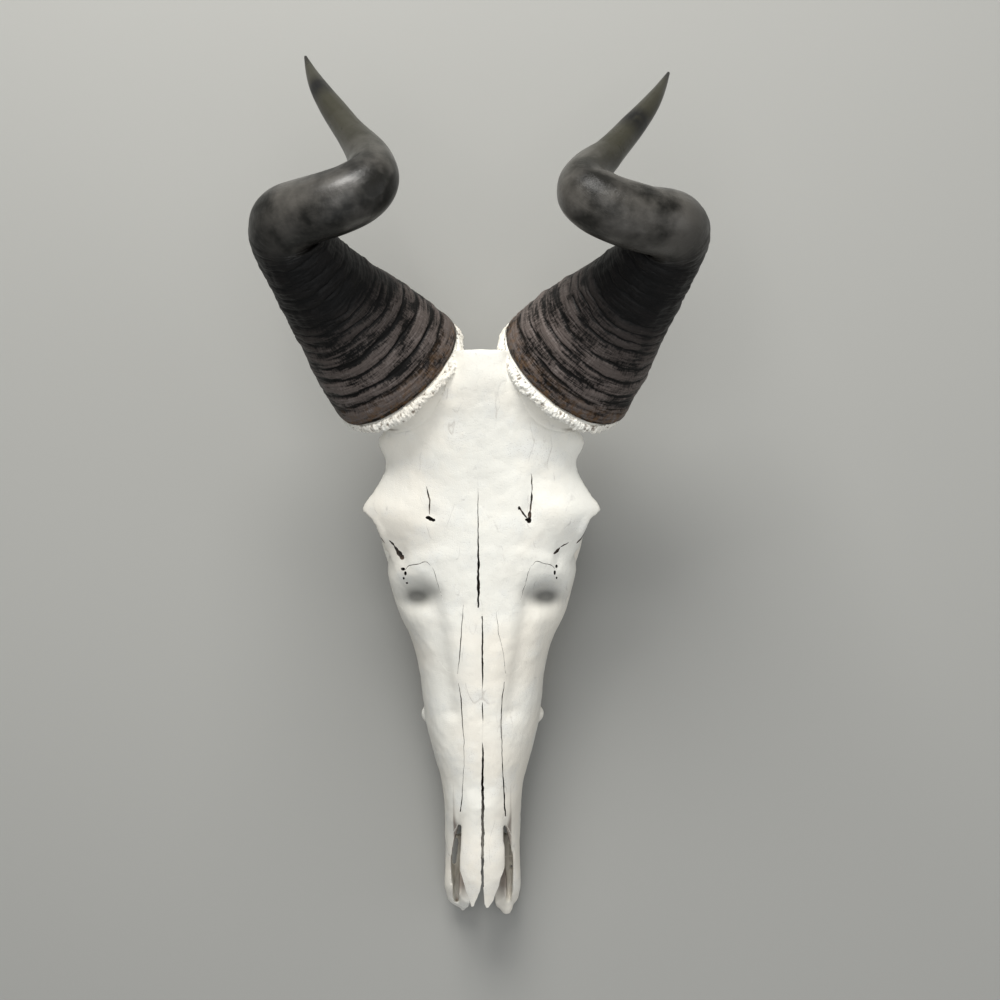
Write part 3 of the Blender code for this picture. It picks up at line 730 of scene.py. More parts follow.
@dataclass(frozen=True)
class HornFinish:
    """Dark keratin: fibrous ringed base with lighter crests and near-black valleys, partly own tone and
    partly painted light and shade; near-black bends with a soft shine and grey patches of wear and painted
    highlight; olive tip.
    """

    valley: tuple = (0.0040, 0.0036, 0.0033)
    crest: tuple = (0.100, 0.082, 0.074)
    ash: tuple = (0.23, 0.205, 0.195)
    rust: tuple = (0.105, 0.058, 0.026)
    bend: tuple = (0.0100, 0.0096, 0.0082)
    wear_and_highlight_grey: tuple = (0.075, 0.070, 0.062)
    olive: tuple = (0.026, 0.0245, 0.0155)
    black: tuple = (0.0045, 0.0045, 0.0045)
    roughness: float = 0.30

    def build(self, side: Side) -> bpy.types.Material:
        """The material of one horn.

        Args:
            side: Which horn, since the dark patch near the tip lies differently and the right horn is painted
                lighter.

        Returns:
            The material.
        """
        graph = Graph(f"horn_keratin_{side.word}")
        along = graph.stored("along")
        ring = graph.stored("ring")
        straight = graph.wire(graph.node("ShaderNodeAttribute", {"attribute_name": "straight"}), "Vector")
        fibre = graph.noise(900.0, 4.0, 0.7, (1.0, 1.0, 0.20), straight)
        hoop = graph.noise(520.0, 4.0, 0.65, (0.20, 0.20, 1.0), straight)
        fine = graph.noise(700.0, 4.0, 0.65)
        broad = graph.noise(34.0, 4.0, 0.55)
        blotch = graph.noise(105.0, 4.0, 0.6)
        tooth = graph.noise(240.0, 3.0, 0.6)
        # painted light: the right horn's ring crests are lighter and the grey patches on its bend wider, for
        # the stronger light on that side
        worn = 0.12 if side is Side.RIGHT else 0.0
        # the rings' crests are lighter and their valleys near-black: partly the keratin's own tone, partly
        # painted highlight and painted shade on the relief
        lit = ring * 1.0 + hoop * 1.6 + fibre * 1.6 + blotch * 0.40 - (2.10 - worn)
        base = graph.mix(lit.band(0.0, 0.55), self.valley, self.crest)
        bleached = (hoop * fibre * 4.0).band(1.02, 1.60) * ring * blotch.band(0.38, 0.62) * 0.8
        base = graph.mix(bleached, base, self.ash)
        # near-black upper base below the first bend: partly the keratin's own colour, partly painted shade
        # under the bend
        base = graph.mix(along.band(0.09, 0.23) * 0.97, base, self.black)
        near_base = 1.0 - along.band(0.006, 0.045)
        rusty = near_base * tooth.band(0.42, 0.60) * blotch.band(0.36, 0.54) * 0.9
        base = graph.mix(rusty.clamp(), base, self.rust)
        # grey patches on the bends: partly wear, partly painted highlight
        upper = graph.mix((broad.band(0.48 - worn, 0.70 - worn) * 0.85).clamp(), self.bend, self.wear_and_highlight_grey)
        tip = graph.mix(along.band(0.58, 0.72), upper, self.olive)
        patch_at = 0.865 if side is Side.LEFT else 0.80
        patch = (1.0 - along.band(patch_at + 0.02, patch_at + 0.05)) * along.band(patch_at - 0.04, patch_at)
        tip = graph.mix((patch * (blotch.band(0.36, 0.48) * 0.5 + 0.5)).clamp(), tip, self.black)
        tip = graph.mix(along.band(0.955, 0.99), tip, self.bend)
        tint = graph.mix(along.band(0.34, 0.42), base, tip)
        gloss = self.roughness + (1.0 - along.band(0.30, 0.42)) * 0.18 + blotch * 0.16 - 0.08
        normal = graph.bump(fibre * 0.7 + hoop * 0.9 + fine * 0.5, 0.0005, 0.55)
        normal = graph.bump(broad + blotch * 0.4, 0.0010, 0.25, normal)
        shine = along.band(0.34, 0.44) * (1.0 - patch) * (1.0 - along.band(0.62, 0.80) * 0.6)
        coat = shine * (0.10 + broad.band(0.40, 0.60) * 0.45)
        graph.feed(graph.shader.inputs["Coat Weight"], coat.clamp())
        graph.shader.inputs["Coat Roughness"].default_value = 0.30
        graph.shader.inputs["Specular IOR Level"].default_value = 0.13
        return graph.finish(tint, gloss, normal)


@dataclass(frozen=True)
class FloorFinish:
    """A plain pale floor."""

    colour: tuple = (0.30, 0.30, 0.285)

    def build(self) -> bpy.types.Material:
        """Build the floor's material.

        Returns:
            The material.
        """
        graph = Graph("pale_floor")
        tone = graph.noise(3.0, 2.0)
        tint = graph.mix(tone * 0.15, self.colour, tuple(0.92 * c for c in self.colour))
        return graph.finish(tint, 0.85, graph.bump(tone, 0.0005, 0.05))


@dataclass
class HornShape:
    """The middle line of a horn, its width and its rings."""

    side: Side
    path: tuple = (
        (-57.0, 397.0, 125.0, 50.7),
        (-76.0, 419.0, 146.0, 44.2),
        (-96.0, 440.5, 171.0, 34.0),
        (-113.0, 461.0, 198.0, 26.6),
        (-125.5, 485.0, 224.0, 23.0),
        (-110.0, 488.0, 240.0, 21.0),
        (-89.0, 492.0, 248.5, 20.4),
        (-67.0, 503.0, 246.0, 19.2),
        (-68.5, 524.0, 227.0, 14.0),
        (-80.0, 540.0, 209.5, 10.6),
        (-98.5, 568.0, 177.0, 8.0),
        (-108.0, 583.5, 159.5, 6.1),
        (-114.5, 597.0, 145.0, 3.8),
        (-120.0, 611.5, 129.0, 1.0),
    )
    rounds: int = 110
    base_flattening: float = 0.81
    round_from: float = 0.28
    axis: tuple = (-0.53, 0.61, 0.59)
    wide_axis: tuple = (0.75, 0.66, 0.0)
    drop: float = 11.0
    splay: float = 8.0
    tuck: float = 2.5
    ridges: int = 14
    ridged_share: float = 0.37
    curve: np.ndarray = field(init=False)
    along: np.ndarray = field(init=False)
    wide: np.ndarray = field(init=False)
    thick: np.ndarray = field(init=False)

    def __post_init__(self) -> None:
        """Work out the smooth curve and the directions across it."""
        rows = np.asarray(self.path, dtype=float)
        run = np.concatenate([[0.0], np.cumsum(np.linalg.norm(np.diff(rows[:, :3], axis=0), axis=1))])
        curve = smooth_rows(tuple(map(tuple, np.column_stack([run, rows]))), 240)
        for _ in range(self.rounds):
            curve[1:-1, 1:4] = 0.5 * curve[1:-1, 1:4] + 0.25 * (curve[:-2, 1:4] + curve[2:, 1:4])
        if self.side is Side.RIGHT:
            self._mirror(curve, run[-1])
        self.curve = curve
        self._carry_directions()

    def _mirror(self, curve: np.ndarray, length: float) -> None:
        """Turn the left horn's line into the right one's, which hangs lower and spreads at its tip.

        Args:
            curve: The line, changed in place.
            length: Its length.
        """
        share = curve[:, 0] / length
        past_bend = np.clip((share - 0.33) / 0.12, 0.0, 1.0)
        to_tip = np.clip((share - 0.55) / 0.45, 0.0, 1.0)
        curve[:, 1] *= -1.0
        curve[:, 1] += self.splay * to_tip - self.tuck * past_bend * (1.0 - to_tip)
        curve[:, 2] -= self.drop * (0.5 * past_bend + 0.5 * np.clip(to_tip * 3.0, 0.0, 1.0))

    def _carry_directions(self) -> None:
        """Carry the base's wide axis along the line without twist."""
        flip = -self.side.value
        line = self.curve[:, 1:4]
        along = np.gradient(line, axis=0)
        along /= np.linalg.norm(along, axis=1)[:, None]
        along[0] = np.array([flip * self.axis[0], self.axis[1], self.axis[2]])
        along[0] /= np.linalg.norm(along[0])
        wide = np.array([flip * self.wide_axis[0], self.wide_axis[1], self.wide_axis[2]])
        kept = []
        for tangent in along:
            wide = wide - tangent * wide.dot(tangent)
            wide = wide / np.linalg.norm(wide)
            kept.append(wide)
        self.along = along
        self.wide = np.array(kept)
        self.thick = np.cross(along, self.wide)

    def collar_share(self, turn: np.ndarray) -> np.ndarray:
        """Width of the bony collar round the base, 1 in the middle and 0 at the two ends of the oval."""
        return np.clip((0.93 - np.abs(np.cos(turn))) / 0.25, 0.0, 1.0)

    def read(self, shares: np.ndarray, table: np.ndarray) -> np.ndarray:
        """Columns of a table read at shares of the length."""
        dense = self.curve[:, 0] / self.curve[-1, 0]
        return np.column_stack([np.interp(shares, dense, table[:, k]) for k in range(table.shape[1])])

    def ridge_wave(self, shares: np.ndarray) -> tuple[np.ndarray, np.ndarray]:
        """Lift of the rings at shares of the length, 0 in a valley and 1 on a crest.

        Each ring is a broad plateau between two narrow valleys, and the rings grow weaker upwards.

        Args:
            shares: Places along the horn, any shape.

        Returns:
            The lift, and how strongly the ring stands there.
        """
        step = np.random.default_rng(31).uniform(0.6, 1.3, self.ridges) * np.linspace(1.25, 0.75, self.ridges)
        ends = self.ridged_share * np.cumsum(step) / step.sum()
        starts = np.concatenate([[0.0], ends[:-1]])
        at = np.clip(np.searchsorted(ends, shares), 0, self.ridges - 1)
        t = np.clip((shares - starts[at]) / (ends[at] - starts[at]), 0.0, 1.0)
        lift = np.interp(t, [0.0, 0.16, 0.42, 0.74, 0.88, 1.0], [0.0, 0.75, 1.0, 0.95, 0.6, 0.0])
        strength = 1.0 - 0.55 * np.clip(shares / self.ridged_share, 0.0, 1.0)
        inside = (shares < self.ridged_share).astype(float)
        return lift * inside, strength * inside


@dataclass
class Horn:
    """One horn: an oval ridged base, two bends and a smooth tip."""

    shape: HornShape
    rings: int = 620
    sides: int = 150
    ridge_height: float = 2.0

    def build(self, finish: HornFinish) -> bpy.types.Object:
        """Make and dress the horn.

        The radius at each ring and turn is the middle line's, plus the ring wave, whose place is
        shifted by noise so that the rings wander, plus fine fibres that run around the horn.

        Args:
            finish: Its material.

        Returns:
            The horn.
        """
        shape = self.shape
        side = shape.side
        shares = np.concatenate([
            np.linspace(0.0, 0.40, int(self.rings * 0.72), endpoint=False),
            np.linspace(0.40, 1.0, self.rings - int(self.rings * 0.72)),
        ])
        turn = np.linspace(0.0, 2.0 * math.pi, self.sides, endpoint=False)
        share = np.repeat(shares, self.sides)
        angle = np.tile(turn, len(shares))
        round_x, round_y = np.cos(angle), np.sin(angle)
        seed = 50 + side.value
        ring_place = np.column_stack([round_x * 3.0, round_y * 3.0, share * 40.0])
        wander = 0.0050 * layered_noise(ring_place, 1.5, seed, 3) * np.clip(share / 0.03, 0.0, 1.0)
        lift, strength = shape.ridge_wave(np.clip(share + wander, 0.0, 1.0))
        patchy = np.clip(0.70 + 0.60 * lattice_noise(ring_place, 0.9, seed + 9), 0.15, 1.2)
        edge = 0.55 + 0.45 * np.abs(round_y) ** 1.5
        fine_place = np.column_stack([round_x * 4.0, round_y * 4.0, share * 330.0])
        fibre = layered_noise(fine_place, 1.5, seed + 20, 3)
        coarse_place = np.column_stack([round_x * 3.0, round_y * 3.0, share * 16.0])
        coarse = layered_noise(coarse_place, 1.3, seed + 30)
        plate_place = np.column_stack([round_x * 14.0, round_y * 14.0, share * 60.0])
        plates = lattice_noise(plate_place, 1.6, seed + 40)
        on_base = 1.0 - np.clip((share - 0.30) / 0.10, 0.0, 1.0)
        data = shape.read(share, shape.curve)
        radius = data[:, 4] + self.ridge_height * lift * strength * patchy * edge
        radius += on_base * (0.42 * fibre + 0.50 * coarse + 0.30 * plates)
        radius += (1.0 - on_base) * 0.014 * data[:, 4] * coarse
        radius *= 1.0 - 0.03 * (1.0 - np.clip(share / 0.014, 0.0, 1.0)) ** 2
        flat = np.interp(share, [0.0, shape.round_from], [shape.base_flattening, 1.0])
        across = shape.read(share, shape.wide)
        upward = shape.read(share, shape.thick)
        points = data[:, 1:4] + (radius * round_x)[:, None] * across
        points += (radius * flat * round_y)[:, None] * upward
        item = Meshes.loft(f"horn_{side.word}_sheath", points.reshape(len(shares), self.sides, 3))
        groove = np.clip(lift * np.clip(patchy, 0.0, 1.0) + 0.35 * fibre, 0.0, 1.0)
        straight = np.column_stack([0.04 * round_x, 0.04 * round_y, 0.56 * share])
        self._store(item, share, groove, straight)
        item.data.materials.append(finish.build(side))
        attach(item, "root")
        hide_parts(f"horn_{side.word}")
        log.info("horn %s: %d faces", side.word, len(item.data.polygons))
        return item

    @staticmethod
    def _store(item: bpy.types.Object, share: np.ndarray, ring: np.ndarray, straight: np.ndarray) -> None:
        """Keep what the material reads: place along the horn, ring, and place on a straightened horn.

        Args:
            item: The horn.
            share: Share of the length, one a vertex.
            ring: Height of the ring there, 0 to 1.
            straight: The vertex on a straight round bar as long as the horn.
        """
        ends = [0, -1]
        Meshes.attribute(item, "along", np.concatenate([share, share[ends]]))
        Meshes.attribute(item, "ring", np.concatenate([ring, ring[ends]]))
        layer = item.data.attributes.new("straight", "FLOAT_VECTOR", "POINT")
        values = np.concatenate([straight, straight[ends]]).astype(np.float32)
        layer.data.foreach_set("vector", values.ravel())


@dataclass
class HornCollar:
    """The rough, spongy rim of bone round a horn's base."""

    shape: HornShape
    width: float = 6.0
    length: float = 7.0
    turns: int = 900
    rings: int = 48

    def build(self, bone: bpy.types.Material) -> bpy.types.Object:
        """Make and dress the collar.

        A half-round band runs round the base oval; noise of three sizes makes it knobby and ragged.

        Args:
            bone: Its material.

        Returns:
            The collar.
        """
        shape = self.shape
        side = shape.side
        turn = np.linspace(0.0, 2.0 * math.pi, self.turns, endpoint=False)
        around = np.linspace(0.0, 2.0 * math.pi, self.rings, endpoint=False)
        angle = np.repeat(turn, self.rings)
        roll = np.tile(around, self.turns)
        rim = shape.curve[0, 4]
        ragged = 1.0 + 0.22 * layered_noise(np.column_stack([np.cos(angle) * 6, np.sin(angle) * 6,
                                                             np.full_like(angle, side.value)]), 1.4, 70)
        share = 0.16 + 0.84 * shape.collar_share(angle)
        out = rim + 0.2 + 0.5 * self.width * share * ragged * (0.75 + np.cos(roll)) - 1.6 * (1.0 - share)
        back = -0.3 - 0.5 * self.length * ragged * (1.0 - np.sin(roll))
        base = shape.curve[0, 1:4]
        points = base + (out * np.cos(angle))[:, None] * shape.wide[0] + back[:, None] * shape.along[0]
        points += (out * shape.base_flattening * np.sin(angle))[:, None] * shape.thick[0]
        knobs = 0.55 * lattice_noise(points, 2.6, 71) + 0.40 * lattice_noise(points, 1.3, 72)
        knobs += 0.22 * lattice_noise(points, 0.7, 73)
        frill_place = np.column_stack([rim * np.cos(angle), rim * np.sin(angle), 1.2 * np.sin(roll)])
        knobs += 0.65 * layered_noise(frill_place, 1.2, 74, 2)
        outward = np.cos(angle)[:, None] * shape.wide[0] + np.sin(angle)[:, None] * shape.thick[0]
        push = np.cos(roll)[:, None] * outward
        push = push + np.sin(roll)[:, None] * shape.along[0]
        points += push * knobs[:, None]
        grid = np.arange(len(points)).reshape(self.turns, self.rings)
        ahead, beside = np.roll(grid, -1, axis=0), np.roll(grid, -1, axis=1)
        both = np.roll(ahead, -1, axis=1)
        faces = np.stack([grid, ahead, both, beside], axis=-1).reshape(-1, 4)
        item = Meshes.from_arrays(f"horn_{side.word}_collar", place(points), faces)
        Meshes.face_out(item)
        nothing = np.zeros(len(points))
        # sunk spots of the collar are darkened: partly dirt, partly painted shade in its gaps
        stored = {"hollow": np.clip(-knobs * 0.9, 0.0, 1.0), "rough_bone": nothing + 1.0, "inner": nothing,
                  "dust": nothing}
        for name, values in stored.items():
            Meshes.attribute(item, name, values)
        item.data.materials.append(bone)
        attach(item, "root")
        log.info("collar %s: %d faces", side.word, len(item.data.polygons))
        return item


@dataclass
class SkullMass:
    """The skull as one fused body, before it is parted into bones."""

    horns: tuple
    voxel: float = 1.15
    section_sides: int = 72
    collar: float = 2.5
    # station, half-width, lowest, height of the widest place, highest
    face: tuple = (
        (5.0, 19.5, 8.0, 13.0, 17.0),
        (9.0, 24.5, 8.0, 14.0, 22.0),
        (16.0, 27.0, 8.0, 18.0, 30.0),
        (40.0, 27.6, 9.0, 24.0, 48.0),
        (68.0, 27.6, 11.0, 28.0, 64.0),
        (82.0, 27.8, 12.0, 30.0, 74.0),
        (105.0, 30.4, 13.0, 32.0, 80.0),
        (127.0, 36.4, 15.0, 34.0, 86.0),
        (144.0, 40.5, 16.0, 36.0, 90.0),
        (162.0, 42.9, 17.0, 40.0, 94.0),
        (183.0, 45.2, 18.0, 46.0, 99.0),
        (198.0, 47.8, 18.0, 52.0, 103.0),
        (211.0, 51.7, 19.0, 56.0, 106.0),
        (225.0, 58.3, 20.0, 62.0, 109.0),
        (244.0, 64.0, 24.0, 70.0, 113.0),
        (259.0, 67.0, 30.0, 76.0, 117.0),
        (272.0, 64.0, 36.0, 82.0, 121.0),
        (286.0, 48.0, 38.0, 86.0, 123.0),
        (302.0, 41.0, 38.0, 86.0, 126.0),
        (322.0, 44.0, 36.0, 84.0, 130.0),
        (345.0, 52.0, 38.0, 84.0, 138.0),
        (365.0, 53.0, 42.0, 86.0, 146.0),
        (382.0, 46.0, 50.0, 90.0, 146.0),
        (393.0, 34.0, 58.0, 94.0, 134.0),
    )
    # station, half-width, height of the midline, fall to the edge, thickness
    brow: tuple = (
        (226.0, 30.0, 108.0, 8.0, 14.0),
        (244.0, 55.0, 114.0, 14.0, 18.0),
        (262.0, 62.0, 118.5, 14.0, 18.0),
        (279.0, 68.5, 122.5, 13.0, 16.0),
        (290.0, 75.0, 125.0, 11.0, 12.0),
        (302.0, 83.0, 127.0, 10.0, 11.0),
        (314.0, 75.0, 130.0, 10.0, 12.0),
        (334.0, 66.0, 135.5, 11.0, 16.0),
        (350.0, 71.0, 141.0, 14.0, 20.0),
        (362.0, 62.0, 145.0, 12.0, 22.0),
        (372.0, 53.0, 149.0, 10.0, 24.0),
        (394.0, 32.0, 157.0, 7.0, 30.0),
        (409.0, 20.0, 160.0, 6.0, 34.0),
    )
    # station, half-width, height of the midline, fall to the edge, thickness
    nasal_roof: tuple = (
        (8.0, 11.0, 53.0, 2.5, 6.0),
        (15.0, 12.0, 55.5, 2.5, 6.5),
        (24.0, 14.5, 59.0, 2.5, 7.0),
        (34.0, 16.0, 63.0, 2.5, 7.5),
        (48.0, 16.6, 67.0, 2.5, 8.0),
        (70.0, 15.4, 71.5, 2.5, 10.0),
        (90.0, 15.0, 77.5, 2.5, 14.0),
    )
    orbit_centre: tuple = (71.0, 300.0, 92.0)
    orbit_radii: tuple = (35.0, 22.0, 20.5)
    orbit_rim: tuple = (
        (73.5, 301.0, 113.0),
        (66.0, 284.0, 106.0),
        (63.5, 274.0, 92.0),
        (64.0, 281.0, 74.0),
        (65.5, 300.0, 66.0),
        (65.0, 319.0, 72.0),
        (62.0, 327.0, 92.0),
        (65.0, 317.0, 108.0),
    )
    arch: tuple = (
        (54.0, 246.0, 58.0),
        (64.0, 268.0, 61.0),
        (67.5, 286.0, 62.0),
        (68.0, 306.0, 62.0),
        (62.0, 330.0, 68.0),
        (47.0, 352.0, 78.0),
    )
    orbit_rim_radius: float = 4.6
    arch_radius: float = 6.0
    # distance from the midline, station, height, and the three radii
    paired_masses: tuple = (
        ("ear_bulla", (23.0, 340.0, 34.0), (11.0, 15.0, 16.0)),
        ("condyle", (19.0, 387.0, 46.0), (13.0, 11.0, 15.0)),
        ("face_tuber", (39.0, 152.0, 36.0), (6.0, 6.5, 7.0)),
        ("ear_base", (45.0, 352.0, 66.0), (14.0, 16.0, 16.0)),
        ("wing", (14.0, 268.0, 36.0), (4.5, 26.0, 20.0)),
    )
    # height, distance from the midline, station, and the two radii
    ear_post: tuple = (
        (0.0, 36.0, 362.0, 4.0, 6.5),
        (30.0, 34.5, 360.0, 6.5, 9.5),
        (62.0, 33.0, 358.0, 9.0, 12.0),
    )
    single_hollows: tuple = (
        ("palate_vault", (0.0, 190.0, 8.0), (23.0, 75.0, 15.0)),
        ("incisor_gap", (0.0, 4.0, 14.0), (10.5, 40.0, 16.0)),
        ("spinal_opening", (0.0, 396.0, 62.0), (11.0, 22.0, 10.0)),
        ("throat", (0.0, 290.0, 40.0), (9.0, 30.0, 16.0)),
    )
    paired_hollows: tuple = (
        ("temple", (74.0, 338.0, 92.0), (24.0, 26.0, 22.0)),
    )
    nose_cavity: tuple = ((0.0, 30.0, 40.0), (20.6, 92.0, 21.0))
    # station, distance from the midline, half-width, mid height, half height of the front tips
    prong_left: tuple = (
        (1.8, 15.0, 0.9, 12.0, 2.5),
        (6.0, 14.4, 2.8, 13.0, 4.0),
        (14.0, 13.6, 4.0, 14.0, 5.5),
        (30.0, 13.2, 4.5, 15.0, 6.0),
        (60.0, 13.5, 5.0, 16.0, 6.0),
    )
    prong_right: tuple = (
        (0.0, 18.0, 2.4, 12.0, 3.0),
        (4.0, 17.6, 4.6, 13.0, 4.5),
        (12.0, 17.0, 5.8, 14.0, 5.5),
        (28.0, 15.5, 5.6, 15.0, 6.0),
        (60.0, 14.0, 5.5, 16.0, 6.0),
    )
    # the side wall of the nose is cut down beyond this outline and above this slope
    nose_side_outline: tuple = ((15.8, -10.0), (60.0, -10.0), (60.0, 82.0), (17.0, 82.0), (15.9, 60.0))
    nose_side_profile: tuple = ((-10.0, 12.0), (0.0, 20.0), (20.0, 32.0), (60.0, 56.0), (84.0, 71.0),
                                (84.0, 140.0), (-10.0, 140.0))
    # the slit beside each nasal, from the tip of the muzzle back, and how deep it goes
    slit_outline: tuple = ((17.8, 8.0), (20.6, 9.5), (21.8, 20.0), (22.6, 36.0), (22.3, 48.0), (20.2, 60.0),
                           (17.2, 72.0), (15.6, 80.0), (13.6, 79.0), (14.0, 60.0), (15.0, 45.0), (17.2, 30.0))
    slit_profile: tuple = ((-10.0, 13.0), (90.0, 13.0), (90.0, 140.0), (-10.0, 140.0))
    # distance behind the horn's base, change of its radius at the flat sides and at the ends of the
    # oval, shift inwards, share of the collar
    boss_steps: tuple = (
        (62.0, -20.0, -28.0, 8.0, 0.0),
        (30.0, -9.0, -19.0, 5.0, 0.0),
        (12.0, -3.0, -9.0, 1.5, 0.2),
        (3.5, -1.0, -2.5, 0.0, 1.0),
        (0.3, -1.0, -2.0, 0.0, 1.0),
    )

    def _turn(self) -> np.ndarray:
        """Angles round a section."""
        return np.linspace(0.0, 2.0 * math.pi, self.section_sides, endpoint=False)[None, :]

    def face_body(self) -> bpy.types.Object:
        """Muzzle, cheeks and braincase.

        A section is an oval with softened corners: its width goes by the 0.8th power of the cosine
        and its height by the 0.85th power of the sine, above and below the widest place.

        Returns:
            The closed body.
        """
        rows = smooth_rows(self.face, 260)
        station, half, low, waist, high = (column[:, None] for column in rows.T)
        turn = self._turn()
        rise = power(np.sin(turn), 0.85)
        x = half * power(np.cos(turn), 0.8)
        z = waist + np.where(rise > 0, (high - waist) * rise, (waist - low) * rise)
        return Meshes.loft("face_body", np.stack([x, station + 0 * turn, z], axis=-1))

    def plate(self, name: str, table: tuple, count: int) -> bpy.types.Object:
        """A crowned plate: its top falls with the square of the width, and its rim is round.

        Args:
            name: Name of the object.
            table: Station, half-width, height of the midline, fall to the edge and thickness.
            count: How many sections it gets.

        Returns:
            The plate.
        """
        rows = smooth_rows(table, count)
        station, half, crown, fall, thickness = (column[:, None] for column in rows.T)
        turn = self._turn()
        across = power(np.cos(turn), 0.7)
        z = crown - fall * across**2 - thickness * (0.5 - 0.5 * np.sin(turn))
        return Meshes.loft(name, np.stack([half * across, station + 0 * turn, z], axis=-1))

    def boss(self, shape: HornShape) -> bpy.types.Object:
        """The stump that carries a horn, ending just short of the horn's base.

        Args:
            shape: The horn that it carries.

        Returns:
            The stump.
        """
        turn = self._turn()[0]
        collar = shape.collar_share(turn)
        rings = []
        for back, flat_side, end, inwards, share in self.boss_steps:
            centre = shape.curve[0, 1:4] - shape.along[0] * back + shape.wide[0] * inwards
            change = flat_side + (end - flat_side) * np.cos(turn) ** 2
            radius = shape.curve[0, 4] + change + self.collar * collar * share
            ring = (radius * np.cos(turn))[:, None] * shape.wide[0]
            ring = ring + (radius * shape.base_flattening * np.sin(turn))[:, None] * shape.thick[0]
            rings.append(centre + ring)
        return Meshes.loft("boss", np.array(rings))

    def prong(self, side: Side) -> bpy.types.Object:
        """The front tip of one premaxilla: ovals whose size and place are read from its table.

        Args:
            side: Which side.

        Returns:
            The tip.
        """
        rows = smooth_rows(self.prong_left if side is Side.LEFT else self.prong_right, 60)
        station, x, half, middle, height = (column[:, None] for column in rows.T)
        turn = self._turn()
        across = side.value * x + half * np.cos(turn)
        upward = middle + height * np.sin(turn)
        return Meshes.loft("prong", np.stack([across, station + 0 * turn, upward], axis=-1))

    def masses(self) -> list[bpy.types.Object]:
        """The closed bodies that fuse with the muzzle.

        Returns:
            The bodies, both sides.
        """
        found = [
            self.plate("brow", self.brow, 160),
            self.plate("nasal_roof", self.nasal_roof, 80),
            Meshes.ball("base", (0.0, 330.0, 44.0), (18.0, 60.0, 15.0)),
        ]
        for shape in self.horns:
            flip = shape.side.value
            mirror = np.array([flip, 1.0, 1.0])
            rim = np.array(self.orbit_rim) * mirror
            found.append(Meshes.tube("orbit_rim", rim, self.orbit_rim_radius, True))
            found.append(Meshes.tube("arch", np.array(self.arch) * mirror, self.arch_radius, False))
            found.append(self.boss(shape))
            found.append(self.prong(shape.side))
            found.append(self.ear_process(flip))
            for name, centre, radii in self.paired_masses:
                found.append(Meshes.ball(name, tuple(mirror * centre), radii))
        return found

    def ear_process(self, flip: int) -> bpy.types.Object:
        """The blade behind the ear: an oval post that narrows down to the floor.

        Args:
            flip: 1 or -1 for the side.

        Returns:
            The post.
        """
        turn = self._turn()[0]
        rings = []
        for z, x, station, rx, ry in self.ear_post:
            across = flip * x + rx * np.cos(turn)
            rings.append(np.column_stack([across, station + ry * np.sin(turn), z + 0 * turn]))
        return Meshes.loft("ear_process", np.array(rings))

    def open_muzzle(self) -> bpy.types.Object:
        """The face body with its nose opened from the front and from above.

        Returns:
            The opened body.
        """
        openings = [Meshes.ball("nose_cavity", *self.nose_cavity)]
        for flip in (-1, 1):
            for outline, profile in ((self.nose_side_outline, self.nose_side_profile),
                                     (self.slit_outline, self.slit_profile)):
                space = Prism(outline, 0.0).upright(flip)
                openings.append(Meshes.combine(space, [Prism(profile, 0.0).level()], "INTERSECT"))
        return Meshes.combine(self.face_body(), openings, "DIFFERENCE")

    def hollows(self) -> list[bpy.types.Object]:
        """The open spaces: palate, orbits, temples, spinal opening.

        Returns:
            The spaces as closed bodies.
        """
        found = [Meshes.ball(name, centre, radii) for name, centre, radii in self.single_hollows]
        for flip in (-1.0, 1.0):
            mirror = np.array([flip, 1.0, 1.0])
            found.append(Meshes.ball("orbit", tuple(mirror * self.orbit_centre), self.orbit_radii))
            for name, centre, radii in self.paired_hollows:
                found.append(Meshes.ball(name, tuple(mirror * centre), radii))
        return found

    def build(self) -> bpy.types.Object:
        """Fuse the masses, open the hollows and soften the joins.

        Returns:
            The fused skull.
        """
        skull = self.open_muzzle()
        Meshes.combine(skull, self.masses(), "UNION")
        Meshes.combine(skull, self.hollows(), "DIFFERENCE")
        remesh = skull.modifiers.new("voxels", "REMESH")
        remesh.mode = "VOXEL"
        remesh.voxel_size = self.voxel * MM
        soften = skull.modifiers.new("soften", "SMOOTH")
        soften.factor = 0.5
        soften.iterations = 10
        Meshes.apply(skull)
        log.info("fused skull: %d faces", len(skull.data.polygons))
        return skull


